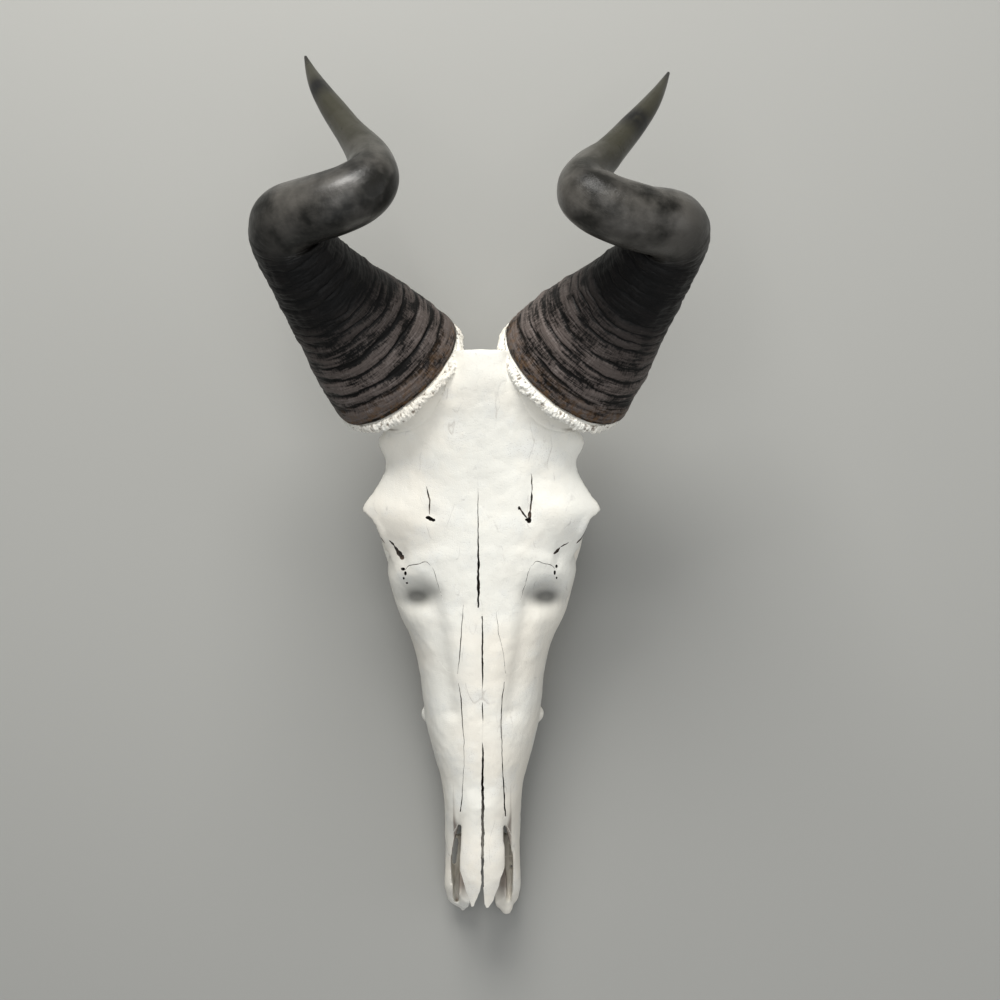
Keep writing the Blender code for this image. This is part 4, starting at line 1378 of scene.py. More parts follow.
@dataclass(frozen=True)
class Prism:
    """A flat outline with a gap added all round, pulled through the whole skull.

    Every outline is bent by one field of noise, so that two bones that meet keep meeting.
    """

    outline: tuple
    gap: float
    wander: float = 0.0
    step: float = 1.3
    # how far an outline is pulled, up and down or from side to side
    heights: tuple = (-20.0, 320.0)
    widths: tuple = (-170.0, 170.0)
    # third coordinate of the noise in the two planes, and how far from the middle it reaches there
    level_layer: float = 40.0
    level_reach: float = 450.0
    upright_reach: float = 80.0
    # the frontals' suture zigzags behind this station, near its own line
    zigzag_start: float = 312.0
    zigzag_line: float = -2.0
    zigzag_size: float = 3.2

    def corners(self) -> np.ndarray:
        """The outline in short steps where it wanders, with each side moved out by the gap.

        Returns:
            The corners in the outline's plane.
        """
        points = np.asarray(self.outline, dtype=float)
        if self.wander:
            closed = np.vstack([points, points[:1]])
            run = np.concatenate([[0.0], np.cumsum(np.linalg.norm(np.diff(closed, axis=0), axis=1))])
            steps = np.arange(0.0, run[-1], self.step)
            far = np.abs(steps[:, None] - run[None, :]).min(axis=1) > 0.35 * self.step
            at = np.sort(np.concatenate([steps[far], run[:-1]]))
            points = np.column_stack([np.interp(at, run, closed[:, 0]), np.interp(at, run, closed[:, 1])])
        before, after = np.roll(points, 1, axis=0), np.roll(points, -1, axis=0)
        area = np.sum(points[:, 0] * after[:, 1] - after[:, 0] * points[:, 1])
        turn = 1.0 if area > 0 else -1.0
        back_out, ahead_out = (
            turn * np.column_stack([way[:, 1], -way[:, 0]]) / np.linalg.norm(way, axis=1)[:, None]
            for way in (points - before, after - points)
        )
        share = np.maximum(1.0 + np.sum(back_out * ahead_out, axis=1), 0.5)
        return points + self.gap * (back_out + ahead_out) / share[:, None]

    def bent(self, flat: np.ndarray, layer: float) -> np.ndarray:
        """Flat points pushed by two layered noises; near the middle line the push is sideways only.

        Args:
            flat: Points in the outline's plane.
            layer: Third coordinate of the noise, one for each plane.

        Returns:
            The moved points.
        """
        if self.wander == 0.0:
            return flat
        spots = np.column_stack([flat, np.full(len(flat), layer)])
        if layer:
            inside = (np.abs(flat) < self.level_reach).all(axis=1)
        else:
            inside = np.abs(flat[:, 0]) < self.upright_reach
        push = np.column_stack([layered_noise(spots, 6.0, 301, 2), layered_noise(spots, 6.0, 305, 2)])
        if layer == 0.0:
            zigzag = np.clip((flat[:, 1] - self.zigzag_start) / 8.0, 0.0, 1.0)
            zigzag = zigzag * np.clip(1.5 - np.abs(flat[:, 0] - self.zigzag_line) / 4.0, 0.0, 1.0)
            line = np.column_stack([np.zeros((len(flat), 2)), flat[:, 1]])
            jag = self.zigzag_size * zigzag * lattice_noise(line, 2.6, 311)
            push[:, 0] = push[:, 0] * (1.0 - zigzag) + jag
        return flat + self.wander * push * inside[:, None]

    def _skin(self, rings: list[np.ndarray]) -> bpy.types.Object:
        """A prism between two copies of the outline, capped by many-sided faces.

        Args:
            rings: The two copies, skull millimetres.

        Returns:
            The prism.
        """
        count = len(rings[0])
        near = np.arange(count)
        far = near + count
        ahead = np.roll(near, -1)
        walls = np.stack([near, ahead, ahead + count, far], axis=-1).tolist()
        mesh = bpy.data.meshes.new("prism")
        mesh.from_pydata(place(np.concatenate(rings)).tolist(), [], [*walls, near.tolist(), far.tolist()])
        item = bpy.data.objects.new("prism", mesh)
        bpy.context.scene.collection.objects.link(item)
        Meshes.face_out(item)
        return item

    def upright(self, flip: int) -> bpy.types.Object:
        """The outline as distance from the midline and station, pulled up."""
        flat = self.bent(self.corners() * np.array([flip, 1.0]), 0.0)
        return self._skin([np.column_stack([flat, np.full(len(flat), z)]) for z in self.heights])

    def level(self) -> bpy.types.Object:
        """The outline as station and height, pulled from side to side."""
        flat = self.bent(self.corners(), self.level_layer)
        return self._skin([np.column_stack([np.full(len(flat), x), flat]) for x in self.widths])


@dataclass
class Relief:
    """The bone's surface: grooves, pits, swellings and grain pushed into the fused skull."""

    # depressions round the holes: x, station, radii, depth
    dents: tuple = (
        ((-35.0, 299.0), (4.5, 5.0), 1.3),
        ((33.0, 301.0), (4.0, 9.0), 1.8),
        ((-56.0, 270.0), (4.5, 8.0), 2.0),
        ((54.0, 268.0), (3.5, 8.0), 1.8),
    )
    pit_centre: tuple = (46.0, 242.0)
    pit_radii: tuple = (12.0, 9.0)
    pit_depth: float = 9.5
    valley: tuple = ((34.0, 240.0), (29.0, 215.0), (25.0, 185.0), (22.0, 160.0))
    valley_depth: float = 2.6
    valley_width: float = 6.5
    # where the painted shade lies in each pit before the eye: distance from the midline and station, radii
    shade_centre: tuple = (45.6, 241.0)
    shade_radii: tuple = (12.0, 6.8)
    # height, distance from the midline and station, radii
    swells: tuple = (
        (1.8, (58.0, 300.0), (16.0, 12.0)),
        (-1.4, (38.0, 322.0), (10.0, 16.0)),
        (-1.0, (30.0, 362.0), (9.0, 26.0)),
    )
    # height, width of the widest cells, seed, layers, squash along the skull
    grains: tuple = (
        (0.50, 26.0, 5, 3, 1.0),
        (0.16, 7.0, 15, 3, 1.0),
        (0.08, 2.4, 25, 2, 0.35),
    )

    def blend(self, skull: bpy.types.Object) -> np.ndarray:
        """Fill the creases round the horn bosses and along the front of the brow.

        A point near a crease moves out along its normal towards the mean of its wide surroundings,
        by a share that fades with its distance from the boss or the brow's edge.

        Args:
            skull: The fused skull.

        Returns:
            The share at each vertex.
        """
        points, normals = Meshes.points_and_normals(skull)
        near = hill(np.abs(points[:, 0]), points[:, 1], (0.0, 246.0), (62.0, 24.0))
        for side in Side:
            shape = HornShape(side)
            offset = points - shape.curve[0, 1:4]
            out = np.hypot(offset @ shape.wide[0], offset @ shape.thick[0] / shape.base_flattening)
            below = np.clip((-offset @ shape.along[0] - 1.5) / 4.0, 0.0, 1.0)
            near = np.maximum(near, np.exp(-(((out - shape.curve[0, 4]) / 20.0) ** 2)) * below)
        near *= np.clip((normals[:, 2] - 0.1) / 0.3, 0.0, 1.0)
        fill = np.einsum("ij,ij->i", Meshes.neighbour_mean(skull, points, 80) - points, normals)
        Meshes.move(skull, points + normals * (near * np.clip(fill * 1.6, -0.5, 5.0))[:, None])
        return near

    def press(self, skull: bpy.types.Object) -> None:
        """Push the surface along its normals and store for the material the hollows, the rough bone and the
        painted shade in the pits.

        Args:
            skull: The fused skull.
        """
        blended = self.blend(skull)
        points, normals = Meshes.points_and_normals(skull)
        x, station, z = points.T
        top = np.clip((normals[:, 2] - 0.25) / 0.35, 0.0, 1.0)
        depth = np.zeros(len(points))
        for centre, radii, deep in self.dents:
            depth += deep * hill(x, station, centre, radii) * top
        wide = np.abs(x)
        nasal_end = np.clip((236.0 - station) / 40.0, 0.0, 1.0)
        out = 0.9 * hill(wide, station, (8.5, 150.0), (5.5, 160.0)) * top * nasal_end
        out -= self.pit_depth * hill(wide, station, self.pit_centre, self.pit_radii) * top
        out -= self.valley_depth * self.in_valley(wide, station) * top
        for height, centre, radii in self.swells:
            out += height * hill(wide, station, centre, radii) * top
        for height, width, seed, layers, squash in self.grains:
            out += height * layered_noise(points * np.array([1.0, squash, 1.0]), width, seed, layers)
        foot = np.clip(z / 6.0, 0.0, 1.0)
        Meshes.move(skull, points + normals * ((out - depth) * foot)[:, None])
        moved, normals = Meshes.points_and_normals(skull)
        mean = Meshes.neighbour_mean(skull, moved, 6)
        sunk = np.einsum("ij,ij->i", mean - moved, normals)
        # darkness of concave spots, partly dirt and partly painted shade, weaker in the filled creases
        Meshes.attribute(skull, "hollow", np.clip(sunk * 0.9, 0.0, 1.0) * (1.0 - 0.75 * blended))
        # painted shade in each pit before the eye, and faintly along the valley from it towards the muzzle,
        # on upper surfaces only
        pit_shade_amount = 1.15 * hill(np.abs(moved[:, 0]), moved[:, 1], self.shade_centre, self.shade_radii)
        edge = self.in_valley(np.abs(moved[:, 0]), moved[:, 1])
        Meshes.attribute(skull, "dust", np.clip(pit_shade_amount + 0.13 * edge, 0.0, 1.0) * (moved[:, 2] > 82.0))
        Meshes.attribute(skull, "rough_bone", np.zeros(len(points)))
        Meshes.attribute(skull, "inner", self.inner(points))

    def in_valley(self, wide: np.ndarray, station: np.ndarray) -> np.ndarray:
        """A bell curve across the valley that leads from the pit to the muzzle, 1 on its line."""
        return np.exp(-((path_distance(wide, station, self.valley) / self.valley_width) ** 2))

    @staticmethod
    def inner(points: np.ndarray) -> np.ndarray:
        """How far a point lies in the nose or in an eye socket, from 0 to 1.

        Args:
            points: Skull millimetres.

        Returns:
            One share a point.
        """
        x, station, z = np.abs(points[:, 0]), points[:, 1], points[:, 2]
        under = np.interp(station, [5.0, 40.0, 90.0, 118.0], [45.0, 55.0, 68.0, 74.0])
        nose = np.clip((21.3 - x) / 0.8, 0.0, 1.0) * np.clip((under - z) / 3.0, 0.0, 1.0)
        nose *= np.clip((z - 19.0) / 6.0, 0.0, 1.0) * np.clip((station - 12.0) / 12.0, 0.0, 1.0)
        nose *= station < 125.0
        away = np.column_stack([x, station, z]) - np.array(SkullMass.orbit_centre)
        reach = np.linalg.norm(away / np.array(SkullMass.orbit_radii), axis=1)
        socket = np.clip((1.12 - reach) / 0.08, 0.0, 1.0) * np.clip((62.0 - x) / 16.0, 0.0, 1.0)
        return np.clip(nose + socket, 0.0, 1.0)


@dataclass(frozen=True)
class BoneRegion:
    """Where one bone lies: an outline from above for each side, and one from the side."""

    name: str
    outlines: dict
    profile: tuple
    gap: float = 0.02


def alike(outline: tuple) -> dict:
    """One outline for both sides."""
    return {side: outline for side in Side}


NASAL_OUTLINES = {
    Side.LEFT: (
        (0.2, 34.0), (1.7, 26.3), (5.9, 14.6), (7.6, 14.0), (10.6, 22.9), (14.9, 38.2), (18.5, 48.0),
        (18.5, 62.0), (15.6, 84.0), (13.8, 101.0), (12.3, 125.5), (12.7, 140.0), (13.7, 154.0),
        (14.4, 169.0), (16.1, 180.5), (16.8, 185.0), (15.0, 203.0), (13.5, 225.0), (12.2, 238.0),
        (4.6, 237.0), (-0.65, 232.0), (-0.65, 140.0), (-0.2, 60.0),
    ),
    Side.RIGHT: (
        (1.2, 36.0), (1.0, 29.8), (1.7, 16.5), (3.1, 13.6), (4.6, 13.8), (8.2, 19.5), (12.0, 31.4),
        (15.2, 41.7), (19.0, 50.0), (19.0, 62.0), (16.8, 80.0), (15.9, 97.0), (14.4, 122.0),
        (13.7, 151.0), (14.4, 169.0), (15.8, 179.0), (16.8, 185.0), (15.0, 204.0), (12.9, 211.0),
        (11.5, 218.0), (10.1, 230.0), (4.0, 232.5), (0.75, 229.0), (0.75, 140.0), (1.2, 60.0),
    ),
}
NASAL_PROFILE = (
    (5.0, 40.0), (40.0, 52.0), (90.0, 66.0), (150.0, 81.0), (200.0, 93.0), (240.0, 101.0), (240.0, 200.0),
    (5.0, 200.0),
)
# the frontals meet along a line left of the middle; the crack opens towards the nasals
FRONTAL_OUTLINES = {
    Side.LEFT: ((2.01, 210.0), (150.0, 210.0), (150.0, 470.0), (2.01, 470.0)),
    Side.RIGHT: ((-1.99, 210.0), (150.0, 210.0), (150.0, 470.0), (-1.99, 470.0)),
}
OCCIPITAL = BoneRegion(
    "occipital",
    alike(((-46.0, 345.0), (46.0, 345.0), (46.0, 400.0), (-46.0, 400.0))),
    ((349.0, -10.0), (404.0, -10.0), (404.0, 122.0), (384.0, 122.0), (376.0, 60.0), (349.0, 52.0)),
)
PALATINE = BoneRegion(
    "palatine",
    alike(((-70.0, 240.0), (70.0, 240.0), (70.0, 304.0), (-70.0, 304.0))),
    ((240.0, -10.0), (304.0, -10.0), (304.0, 62.0), (240.0, 62.0)),
)
PAIRED = (
    BoneRegion("nasal", NASAL_OUTLINES, NASAL_PROFILE, 0.03),
    BoneRegion(
        "premaxilla",
        alike(((0.5, -10.0), (70.0, -10.0), (70.0, 43.0), (27.3, 44.0), (25.8, 54.0), (22.5, 63.0),
               (16.6, 78.0), (0.5, 79.0))),
        ((-10.0, -10.0), (46.0, -10.0), (44.0, 22.0), (56.0, 44.0), (86.0, 64.0), (86.0, 120.0),
         (-10.0, 120.0)),
        0.03,
    ),
    BoneRegion(
        "lacrimal",
        alike(((12.0, 186.0), (24.0, 188.0), (38.0, 205.0), (56.0, 232.0), (90.0, 262.0), (90.0, 276.0),
               (60.0, 268.0), (51.3, 263.2), (44.0, 264.5), (38.2, 266.4), (34.0, 262.5), (30.5, 252.0),
               (26.4, 237.6), (12.0, 238.0))),
        ((180.0, 72.0), (290.0, 72.0), (290.0, 200.0), (180.0, 200.0)),
        0.02,
    ),
    BoneRegion(
        "zygomatic",
        alike(((50.0, 230.0), (100.0, 230.0), (100.0, 346.0), (50.0, 346.0))),
        ((244.0, 46.0), (346.0, 46.0), (346.0, 90.0), (290.0, 88.0), (268.0, 84.0), (244.0, 71.0)),
    ),
    BoneRegion(
        "frontal",
        FRONTAL_OUTLINES,
        ((222.0, 96.0), (300.0, 95.0), (340.0, 96.0), (352.0, 70.0), (470.0, 30.0), (470.0, 260.0),
         (222.0, 260.0)),
        0.02,
    ),
    BoneRegion(
        "maxilla",
        alike(((0.15, -10.0), (90.0, -10.0), (90.0, 256.0), (0.15, 256.0))),
        ((-10.0, -10.0), (262.0, -10.0), (252.0, 110.0), (-10.0, 110.0)),
        0.02,
    ),
)

# open cracks: x, station, half-width
CRACKS = (
    ((-1.9, 317.0, 0.05), (-2.0, 306.0, 0.22), (-2.0, 290.0, 0.30), (-2.1, 278.0, 0.42), (-2.0, 266.0, 0.75),
     (-1.9, 248.0, 0.85), (-2.0, 234.0, 0.60)),
    ((0.7, 228.0, 0.55), (0.7, 224.0, 0.25), (0.7, 215.0, 0.55), (0.7, 198.0, 0.65), (0.7, 186.0, 0.45),
     (0.7, 176.0, 0.08)),
    ((0.7, 167.0, 0.10), (0.7, 164.0, 0.36), (0.7, 156.0, 0.30), (0.7, 152.0, 0.08)),
    ((0.7, 138.0, 0.10), (0.7, 130.0, 0.70), (0.7, 100.0, 0.95), (0.6, 60.0, 1.05), (0.5, 36.0, 1.00),
     (0.5, 30.0, 1.00)),
    ((-12.4, 236.0, 0.06), (-13.5, 225.0, 0.24), (-15.0, 203.0, 0.28), (-16.7, 187.0, 0.08)),
    ((10.4, 231.5, 0.06), (11.6, 218.0, 0.13), (13.0, 211.0, 0.12), (15.1, 203.5, 0.10), (16.7, 187.0, 0.08)),
    ((-16.1, 180.5, 0.10), (-14.4, 169.0, 0.32), (-13.7, 154.0, 0.26), (-12.7, 140.0, 0.18),
     (-12.3, 125.5, 0.10), (-13.8, 101.0, 0.18), (-15.4, 86.0, 0.40)),
    ((16.2, 181.0, 0.16), (14.4, 169.0, 0.34), (13.7, 151.0, 0.26), (14.4, 122.0, 0.26), (15.9, 97.0, 0.45),
     (16.7, 82.0, 0.55)),
)
# grooves of vessels, and grooves along the rims of the brows whose dark walls paint the shadow under the
# brow's edge: radius, and the line as x, station
GROOVES = (
    (0.50, ((-35.3, 299.0), (-35.8, 304.0), (-35.2, 308.0), (-36.3, 312.0), (-37.4, 318.0))),
    (0.95, ((33.1, 295.0), (33.3, 298.5), (33.8, 301.5))),
    (0.60, ((33.3, 298.0), (33.9, 304.0), (34.8, 310.0), (34.6, 315.0))),
    (0.35, ((34.6, 314.0), (34.9, 320.0), (34.3, 327.0))),
    (0.55, ((26.3, 303.6), (28.4, 299.8), (31.5, 296.4))),
    # along the rim of each brow: the dark walls of these grooves paint the shadow under the brow's edge
    (1.00, ((-78.0, 296.0), (-75.5, 290.0), (-71.5, 284.0), (-67.0, 278.5))),
    (0.90, ((77.5, 295.0), (74.5, 289.0), (70.5, 283.5), (66.0, 278.5))),
    (1.70, ((-60.6, 276.6), (-58.4, 273.4), (-55.6, 269.4), (-54.2, 267.2))),
    (0.80, ((-64.0, 280.5), (-62.0, 278.5), (-60.5, 276.5))),
    (1.15, ((54.6, 275.6), (52.4, 273.4), (50.2, 271.4))),
    (0.50, ((60.5, 279.5), (57.5, 277.6), (54.6, 275.6))),
    (0.20, ((-34.4, 262.8), (-38.0, 266.2), (-43.5, 264.6), (-50.0, 263.2), (-53.0, 260.0))),
    (0.16, ((-26.6, 238.5), (-29.5, 247.5), (-32.0, 256.5), (-34.2, 262.6))),
    (0.20, ((34.4, 262.8), (38.0, 266.2), (43.5, 264.6), (48.0, 263.6), (51.0, 260.5))),
    (0.16, ((26.6, 238.5), (29.5, 247.5), (32.0, 256.5), (34.2, 262.6))),
)
# holes through the outer bone: x, station, radii
HOLES = (
    ((-36.3, 296.6), (2.0, 1.2)),
    ((-34.6, 295.6), (1.7, 1.3)),
    ((-32.8, 294.9), (1.4, 1.1)),
    ((32.8, 294.8), (1.7, 2.1)),
    ((31.2, 295.2), (1.2, 1.0)),
    ((26.0, 303.2), (0.9, 1.3)),
    ((-54.6, 260.6), (1.7, 1.1)),
    ((-53.0, 257.6), (1.0, 1.5)),
    ((-54.4, 254.0), (0.8, 0.9)),
    ((-52.2, 250.6), (0.9, 0.7)),
    ((52.2, 262.6), (0.9, 1.2)),
    ((51.0, 258.2), (0.8, 1.6)),
    ((52.4, 254.4), (0.6, 0.9)),
)
CRACK_PROFILE = (
    (5.0, 26.0), (60.0, 40.0), (130.0, 66.0), (150.0, 80.0), (200.0, 92.0), (240.0, 97.0), (330.0, 97.0),
    (330.0, 200.0), (5.0, 200.0),
)


# material slots while the skull is cut
OUTSIDE, CRACK, WALL = 0, 1, 2


@dataclass
class Bones:
    """The skull parted into its bones along ragged sutures."""

    skull: bpy.types.Object
    material: bpy.types.Material
    crack: bpy.types.Material
    hole_drop: float = 1.0
    hole_depth: float = 5.0
    least_piece: int = 1600
    sharp_degrees: float = 50.0

    def open_cracks(self) -> None:
        """Cut the open cracks, grooves and holes out of the whole skull.

        Their walls are the second, dark material; along the brows' rims they paint the shadow under the
        brow's edge.
        A crack's width changes by a noise along it, a groove is a round bar laid on the surface, and a hole
        is an ellipsoid set into it.
        """
        spaces = []
        for number, crack in enumerate(CRACKS):
            rows = np.asarray(crack)
            run = np.concatenate([[0.0], np.cumsum(np.hypot(*np.diff(rows[:, :2], axis=0).T))])
            at = np.linspace(0.0, run[-1], int(run[-1] / 1.2) + 3)
            x, station, half = (np.interp(at, run, rows[:, k]) for k in range(3))
            spots = np.column_stack([at, np.full_like(at, 9.0 * number), np.zeros_like(at)])
            left = half * (1.0 + 0.35 * layered_noise(spots, 2.6, 321, 2))
            right = half * (1.0 + 0.35 * layered_noise(spots, 2.6, 331, 2))
            back = np.column_stack([x + right, station])[::-1]
            outline = np.concatenate([np.column_stack([x - left, station]), back])
            space = Prism(tuple(map(tuple, outline)), 0.0, WANDER).upright(1)
            spaces.append(Meshes.combine(space, [Prism(CRACK_PROFILE, 0.0).level()], "INTERSECT"))
        points, _ = Meshes.points_and_normals(self.skull)
        for radius, line in GROOVES:
            course = smooth_rows(tuple((k, *spot) for k, spot in enumerate(line)), 14)[:, 1:]
            spots = np.column_stack([course, np.full(len(course), radius)])
            wobble = [layered_noise(spots, 3.0, 341), layered_noise(spots, 3.0, 343)]
            course = course + 0.35 * np.column_stack(wobble)
            t = np.linspace(0.0, 1.0, len(course))
            shares = 0.25 + 0.95 * np.sin(math.pi * t) ** 0.7
            shares = np.clip(shares * (1.0 + 0.55 * lattice_noise(spots, 1.7, 345)), 0.2, 1.7)
            lifted = [(x, station, self.surface(points, x, station)) for x, station in course]
            spaces.append(Meshes.tube("groove", np.array(lifted), radius, False, shares))
        for (x, station), (rx, ry) in HOLES:
            centre = (x, station, self.surface(points, x, station) - self.hole_drop)
            spaces.append(Meshes.ball("hole", centre, (rx, ry, self.hole_depth)))
        for space in spaces:
            self._mark(space, CRACK)
            Meshes.combine(self.skull, [space], "DIFFERENCE")

    def _mark(self, item: bpy.types.Object, number: int) -> None:
        """Give an object the three slots, and all its faces one of them.

        Args:
            item: The object.
            number: The slot of its faces.
        """
        item.data.materials.clear()
        for material in (self.material, self.crack, self.material):
            item.data.materials.append(material)
        slots = np.full(len(item.data.polygons), number, dtype=np.int32)
        item.data.polygons.foreach_set("material_index", slots)

    @staticmethod
    def surface(points: np.ndarray, x: float, station: float) -> float:
        """Height of the skull's upper surface at a place, the mean of the nearest upper points.

        Args:
            points: The skull's vertices.
            x: Distance from the midline, with its sign.
            station: Place along the skull.

        Returns:
            The height.
        """
        away = np.hypot(points[:, 0] - x, points[:, 1] - station)
        near = away < away.min() + 1.2
        height, weight = points[near, 2], 1.0 / (away[near] ** 2 + 0.05)
        weight = weight * (height > height.max() - 3.5)
        return float(np.sum(height * weight) / np.sum(weight))

    def part(self) -> list[bpy.types.Object]:
        """Part every bone from the skull, and dress it.

        Returns:
            The bones; what is left in the end is the braincase.
        """
        self._mark(self.skull, OUTSIDE)
        self.open_cracks()
        found = [self._split(OCCIPITAL, Side.RIGHT, OCCIPITAL.name)]
        for region in PAIRED:
            for side in Side:
                found.append(self._split(region, side, f"{region.name}_{side.word}"))
        found.append(self._split(PALATINE, Side.RIGHT, PALATINE.name))
        found.append(self._dress(self.skull, "braincase"))
        return found

    def _split(self, region: BoneRegion, side: Side, node: str) -> bpy.types.Object:
        """Cut one bone out, with a thin gap left round it.

        Args:
            region: The bone's place and gap.
            side: Its side.
            node: The CAD node that the bone replaces.

        Returns:
            The bone.
        """
        spaces = []
        for gap in (0.0, region.gap):
            space = Prism(region.outlines[side], gap, WANDER).upright(side.value)
            spaces.append(Meshes.combine(space, [Prism(region.profile, gap, WANDER).level()], "INTERSECT"))
        for space in spaces:
            self._mark(space, WALL)
        bone = bpy.data.objects.new(node, self.skull.data.copy())
        bpy.context.scene.collection.objects.link(bone)
        Meshes.combine(bone, [spaces[0]], "INTERSECT")
        Meshes.combine(self.skull, [spaces[1]], "DIFFERENCE")
        return self._dress(bone, node)

    def _dress(self, bone: bpy.types.Object, node: str) -> bpy.types.Object:
        """Clean a bone, sharpen its rims, and put it in its node's place.

        An edge is sharp where the faces beside it bend by more than an angle, and where one is
        the bone's outside and the other the wall of a cut.

        Args:
            bone: The bone.
            node: The CAD node that it replaces.

        Returns:
            The bone.
        """
        Meshes.keep_large(bone, self.least_piece)
        bone.name = f"{node}_bone"
        mesh = bone.data
        which = Meshes.fetch(mesh.polygons, "material_index", np.int32)
        beside = np.repeat(which, Meshes.fetch(mesh.polygons, "loop_total", np.int32))
        edge_of = Meshes.fetch(mesh.loops, "edge_index", np.int32)
        low, high = np.full(len(mesh.edges), WALL), np.full(len(mesh.edges), OUTSIDE)
        np.minimum.at(low, edge_of, beside)
        np.maximum.at(high, edge_of, beside)
        mesh.polygons.foreach_set("use_smooth", np.ones(len(mesh.polygons), dtype=bool))
        mesh.set_sharp_from_angle(angle=math.radians(self.sharp_degrees))
        sharp = Meshes.fetch(mesh.edges, "use_edge_sharp", bool)
        mesh.edges.foreach_set("use_edge_sharp", sharp | (low != high))
        mesh.materials.clear()
        mesh.materials.append(self.material)
        mesh.materials.append(self.crack)
        mesh.polygons.foreach_set("material_index", (which == CRACK).astype(np.int32))
        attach(bone, "root")
        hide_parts(node)
        log.info("%s: %d faces", node, len(bone.data.polygons))
        return bone


@dataclass
class ToothRow:
    """The six cheek teeth of one side."""

    side: Side
    sizes: tuple = ((9.0, 9.5), (12.0, 11.5), (13.0, 13.0), (17.0, 15.0), (20.5, 16.0), (19.5, 15.0))
    start: float = 149.0
    row_x: tuple = (31.0, 38.0)
    root_top: float = 30.0
    spacing: float = 0.6
    lake_depth: float = 1.3
    sides: int = 96
    rings: int = 40

    def build(self, finish: bpy.types.Material) -> list[bpy.types.Object]:
        """Make the teeth, front to back.

        A tooth is a rounded block carried up from its crown: its outer wall has three upright ribs,
        and its crown dips in two crescents.

        Args:
            finish: The enamel.

        Returns:
            The teeth.
        """
        draw = np.random.default_rng(7 if self.side is Side.LEFT else 8)
        total = sum(length for length, _ in self.sizes)
        station = self.start
        found = []
        for number, (length, width) in enumerate(self.sizes, start=1):
            middle = station + 0.5 * length
            share = (middle - self.start) / total
            x = self.row_x[0] + (self.row_x[1] - self.row_x[0]) * share + draw.uniform(-0.3, 0.3)
            name = f"tooth_{self.side.word}_{number}"
            found.append(self._tooth(name, x, middle, length - self.spacing, width, finish))
            station += length
        return found

    def _tooth(self, name: str, x: float, middle: float, length: float, width: float,
               finish: bpy.types.Material) -> bpy.types.Object:
        """One tooth.

        Args:
            name: Name of the piece.
            x: Distance from the midline.
            middle: Station of its middle.
            length: Length along the row.
            width: Width across it.
            finish: The enamel.

        Returns:
            The tooth.
        """
        flip = self.side.value
        turn = np.linspace(0.0, 2.0 * math.pi, self.sides, endpoint=False)[None, :]
        t = np.linspace(0.0, 1.0, self.rings)[:, None]
        crown = np.linspace(0.0, 1.0, 16)[:, None]
        size = np.interp(t, [0.0, 0.06, 0.25, 1.0], [0.90, 0.95, 1.0, 0.84])
        ribs = 0.055 * np.cos(3.0 * turn) * np.clip(np.cos(turn), 0.0, 1.0)
        ribs = ribs - 0.05 * np.exp(-(turn - math.pi) ** 2 / 0.1)
        across = power(np.cos(turn), 0.6) * (1.0 + ribs)
        lengthwise = power(np.sin(turn), 0.6)
        wall_x = 0.5 * width * size * across
        wall_y = 0.5 * length * size * lengthwise
        wall_z = self.root_top * t + 0 * turn
        top_x = 0.5 * width * 0.90 * crown * across
        top_y = 0.5 * length * 0.90 * crown * lengthwise
        lake = np.sin(math.pi * np.clip(crown, 0.0, 1.0)) ** 2 * (0.6 + 0.4 * np.cos(2.0 * turn))
        top_z = self.lake_depth * lake * (crown < 0.999)
        rings_x = np.concatenate([top_x[1:-1], wall_x])
        rings_y = np.concatenate([top_y[1:-1], wall_y])
        rings_z = np.concatenate([top_z[1:-1], wall_z])
        points = np.stack([flip * (x + rings_x), middle + rings_y, rings_z], axis=-1)
        item = Meshes.loft(name, points)
        worn = np.concatenate([lake[1:-1] + 0 * turn, np.zeros_like(wall_z)]).ravel()
        stained = np.clip(-ribs * 9.0, 0.0, 1.0) + 0.5 * t + 0 * turn
        fold = np.concatenate([np.zeros_like(top_x[1:-1]), stained]).ravel()
        Meshes.attribute(item, "worn", np.concatenate([worn, [1.0, 0.0]]))
        Meshes.attribute(item, "fold", np.concatenate([fold, [0.0, 1.0]]))
        item.data.materials.append(finish)
        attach(item, "root")
        return item


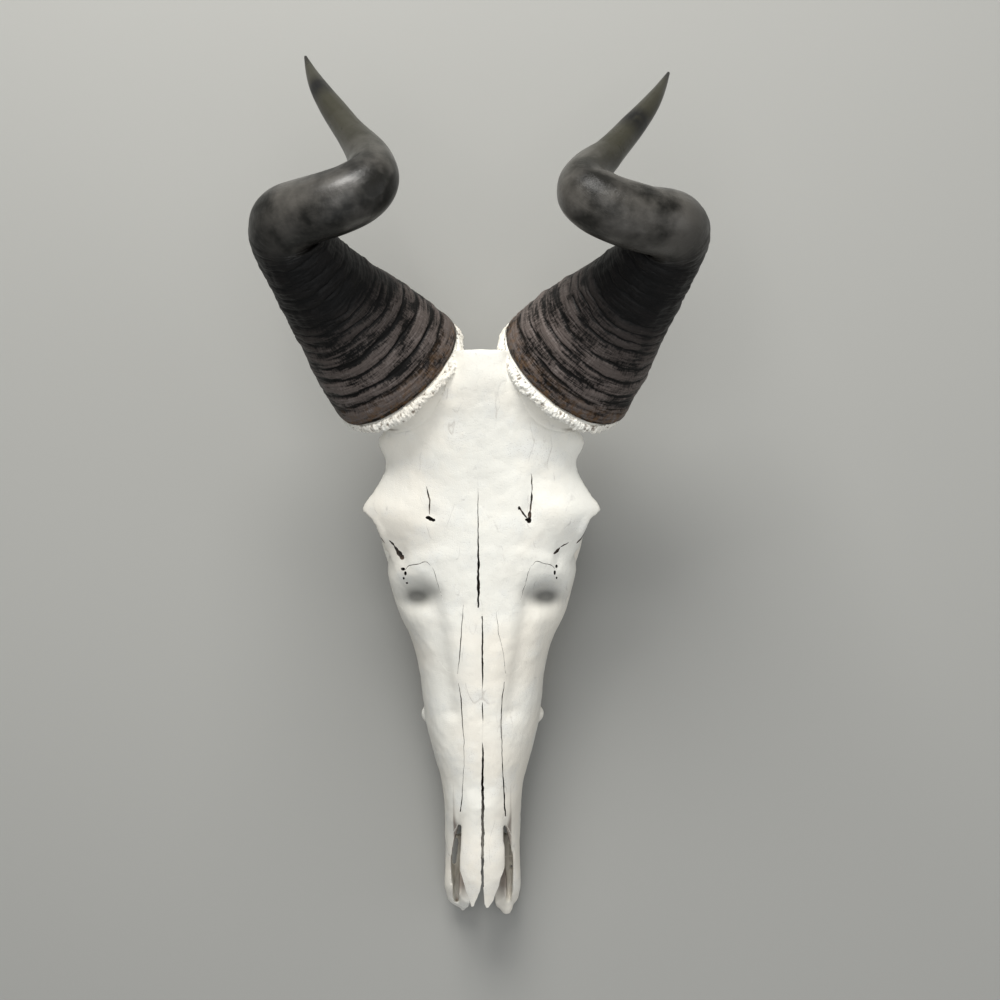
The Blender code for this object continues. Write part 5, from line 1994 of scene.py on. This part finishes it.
@dataclass
class Studio:
    """Floor, light and camera.

    The camera looks straight down on the face. Its height and lens give 0.68 mm a picture point
    on the forehead.
    """

    camera_x: float = 12.9
    camera_station: float = 308.7
    camera_height: float = 1385.0
    points_per_unit: float = 1838.0
    picture_width: float = 1000.0
    sensor: float = 36.0
    floor_reach: float = 3.0
    room_light: float = 0.24
    # name, place, what it faces, side of the square, power, colour
    lights: tuple = (
        ("key", (-0.22, 1.25, 1.10), (0.0, 0.0, 0.05), 0.75, 34.0, (1.0, 0.985, 0.955)),
        ("fill", (0.15, -1.1, 1.5), (0.0, 0.0, 0.05), 1.6, 5.0, (0.95, 0.98, 1.0)),
        ("side", (1.4, 0.1, 1.0), (0.0, 0.0, 0.1), 1.2, 4.5, (1.0, 1.0, 1.0)),
        ("overhead", (-0.1, 0.15, 2.0), (0.0, 0.0, 0.1), 1.2, 12.0, (1.0, 1.0, 0.99)),
    )

    def build(self) -> None:
        """Set the whole studio."""
        self._floor()
        self._camera()
        for light in self.lights:
            self._light(*light)
        world = bpy.data.worlds.new("soft_room")
        world.use_nodes = True
        air = world.node_tree.nodes["Background"].inputs
        air["Color"].default_value = (0.95, 0.97, 1.0, 1.0)
        air["Strength"].default_value = self.room_light
        bpy.context.scene.world = world
        bpy.context.scene.view_settings.view_transform = "Standard"

    def _floor(self) -> None:
        """A flat square under the skull."""
        corners = self.floor_reach * np.array([(-1, -1, 0), (1, -1, 0), (1, 1, 0), (-1, 1, 0)])
        floor = Meshes.from_arrays("studio_floor", corners, np.array([[0, 1, 2, 3]]))
        floor.data.materials.append(FloorFinish().build())

    def _camera(self) -> None:
        """A camera that looks straight down, with the muzzle at the picture's foot."""
        camera = bpy.data.cameras.new("camera")
        camera.sensor_width = self.sensor
        camera.lens = self.sensor * self.points_per_unit / self.picture_width
        item = bpy.data.objects.new("camera", camera)
        item.location = place(np.array([self.camera_x, self.camera_station, self.camera_height]))
        bpy.context.scene.collection.objects.link(item)
        bpy.context.scene.camera = item

    @staticmethod
    def _light(name: str, at: tuple, aim: tuple, size: float, watts: float, colour: tuple) -> None:
        """One square soft light.

        Args:
            name: Its name.
            at: Where it stands.
            aim: What it faces.
            size: Side of the square.
            watts: Its power.
            colour: Its colour.
        """
        lamp = bpy.data.lights.new(name, "AREA")
        lamp.size = size
        lamp.energy = watts
        lamp.color = colour
        item = bpy.data.objects.new(name, lamp)
        item.location = at
        way = np.array(aim) - np.array(at)
        item.rotation_euler = (math.atan2(math.hypot(way[0], way[1]), -way[2]), 0.0,
                               math.atan2(way[1], way[0]) - math.pi / 2)
        bpy.context.scene.collection.objects.link(item)


def main() -> None:
    """Build the studio, the skull, the teeth and the horns."""
    logging.basicConfig(level=logging.INFO)
    Studio().build()
    horns = tuple(HornShape(side) for side in Side)
    bone = BoneFinish().build()
    skull = SkullMass(horns).build()
    Relief().press(skull)
    Bones(skull, bone, CrackAndBrowShadowFinish().build()).part()
    enamel = ToothFinish().build()
    for side in Side:
        ToothRow(side).build(enamel)
    for shape in horns:
        HornCollar(shape).build(bone)
        Horn(shape).build(HornFinish())


if __name__ == "__main__":
    main()
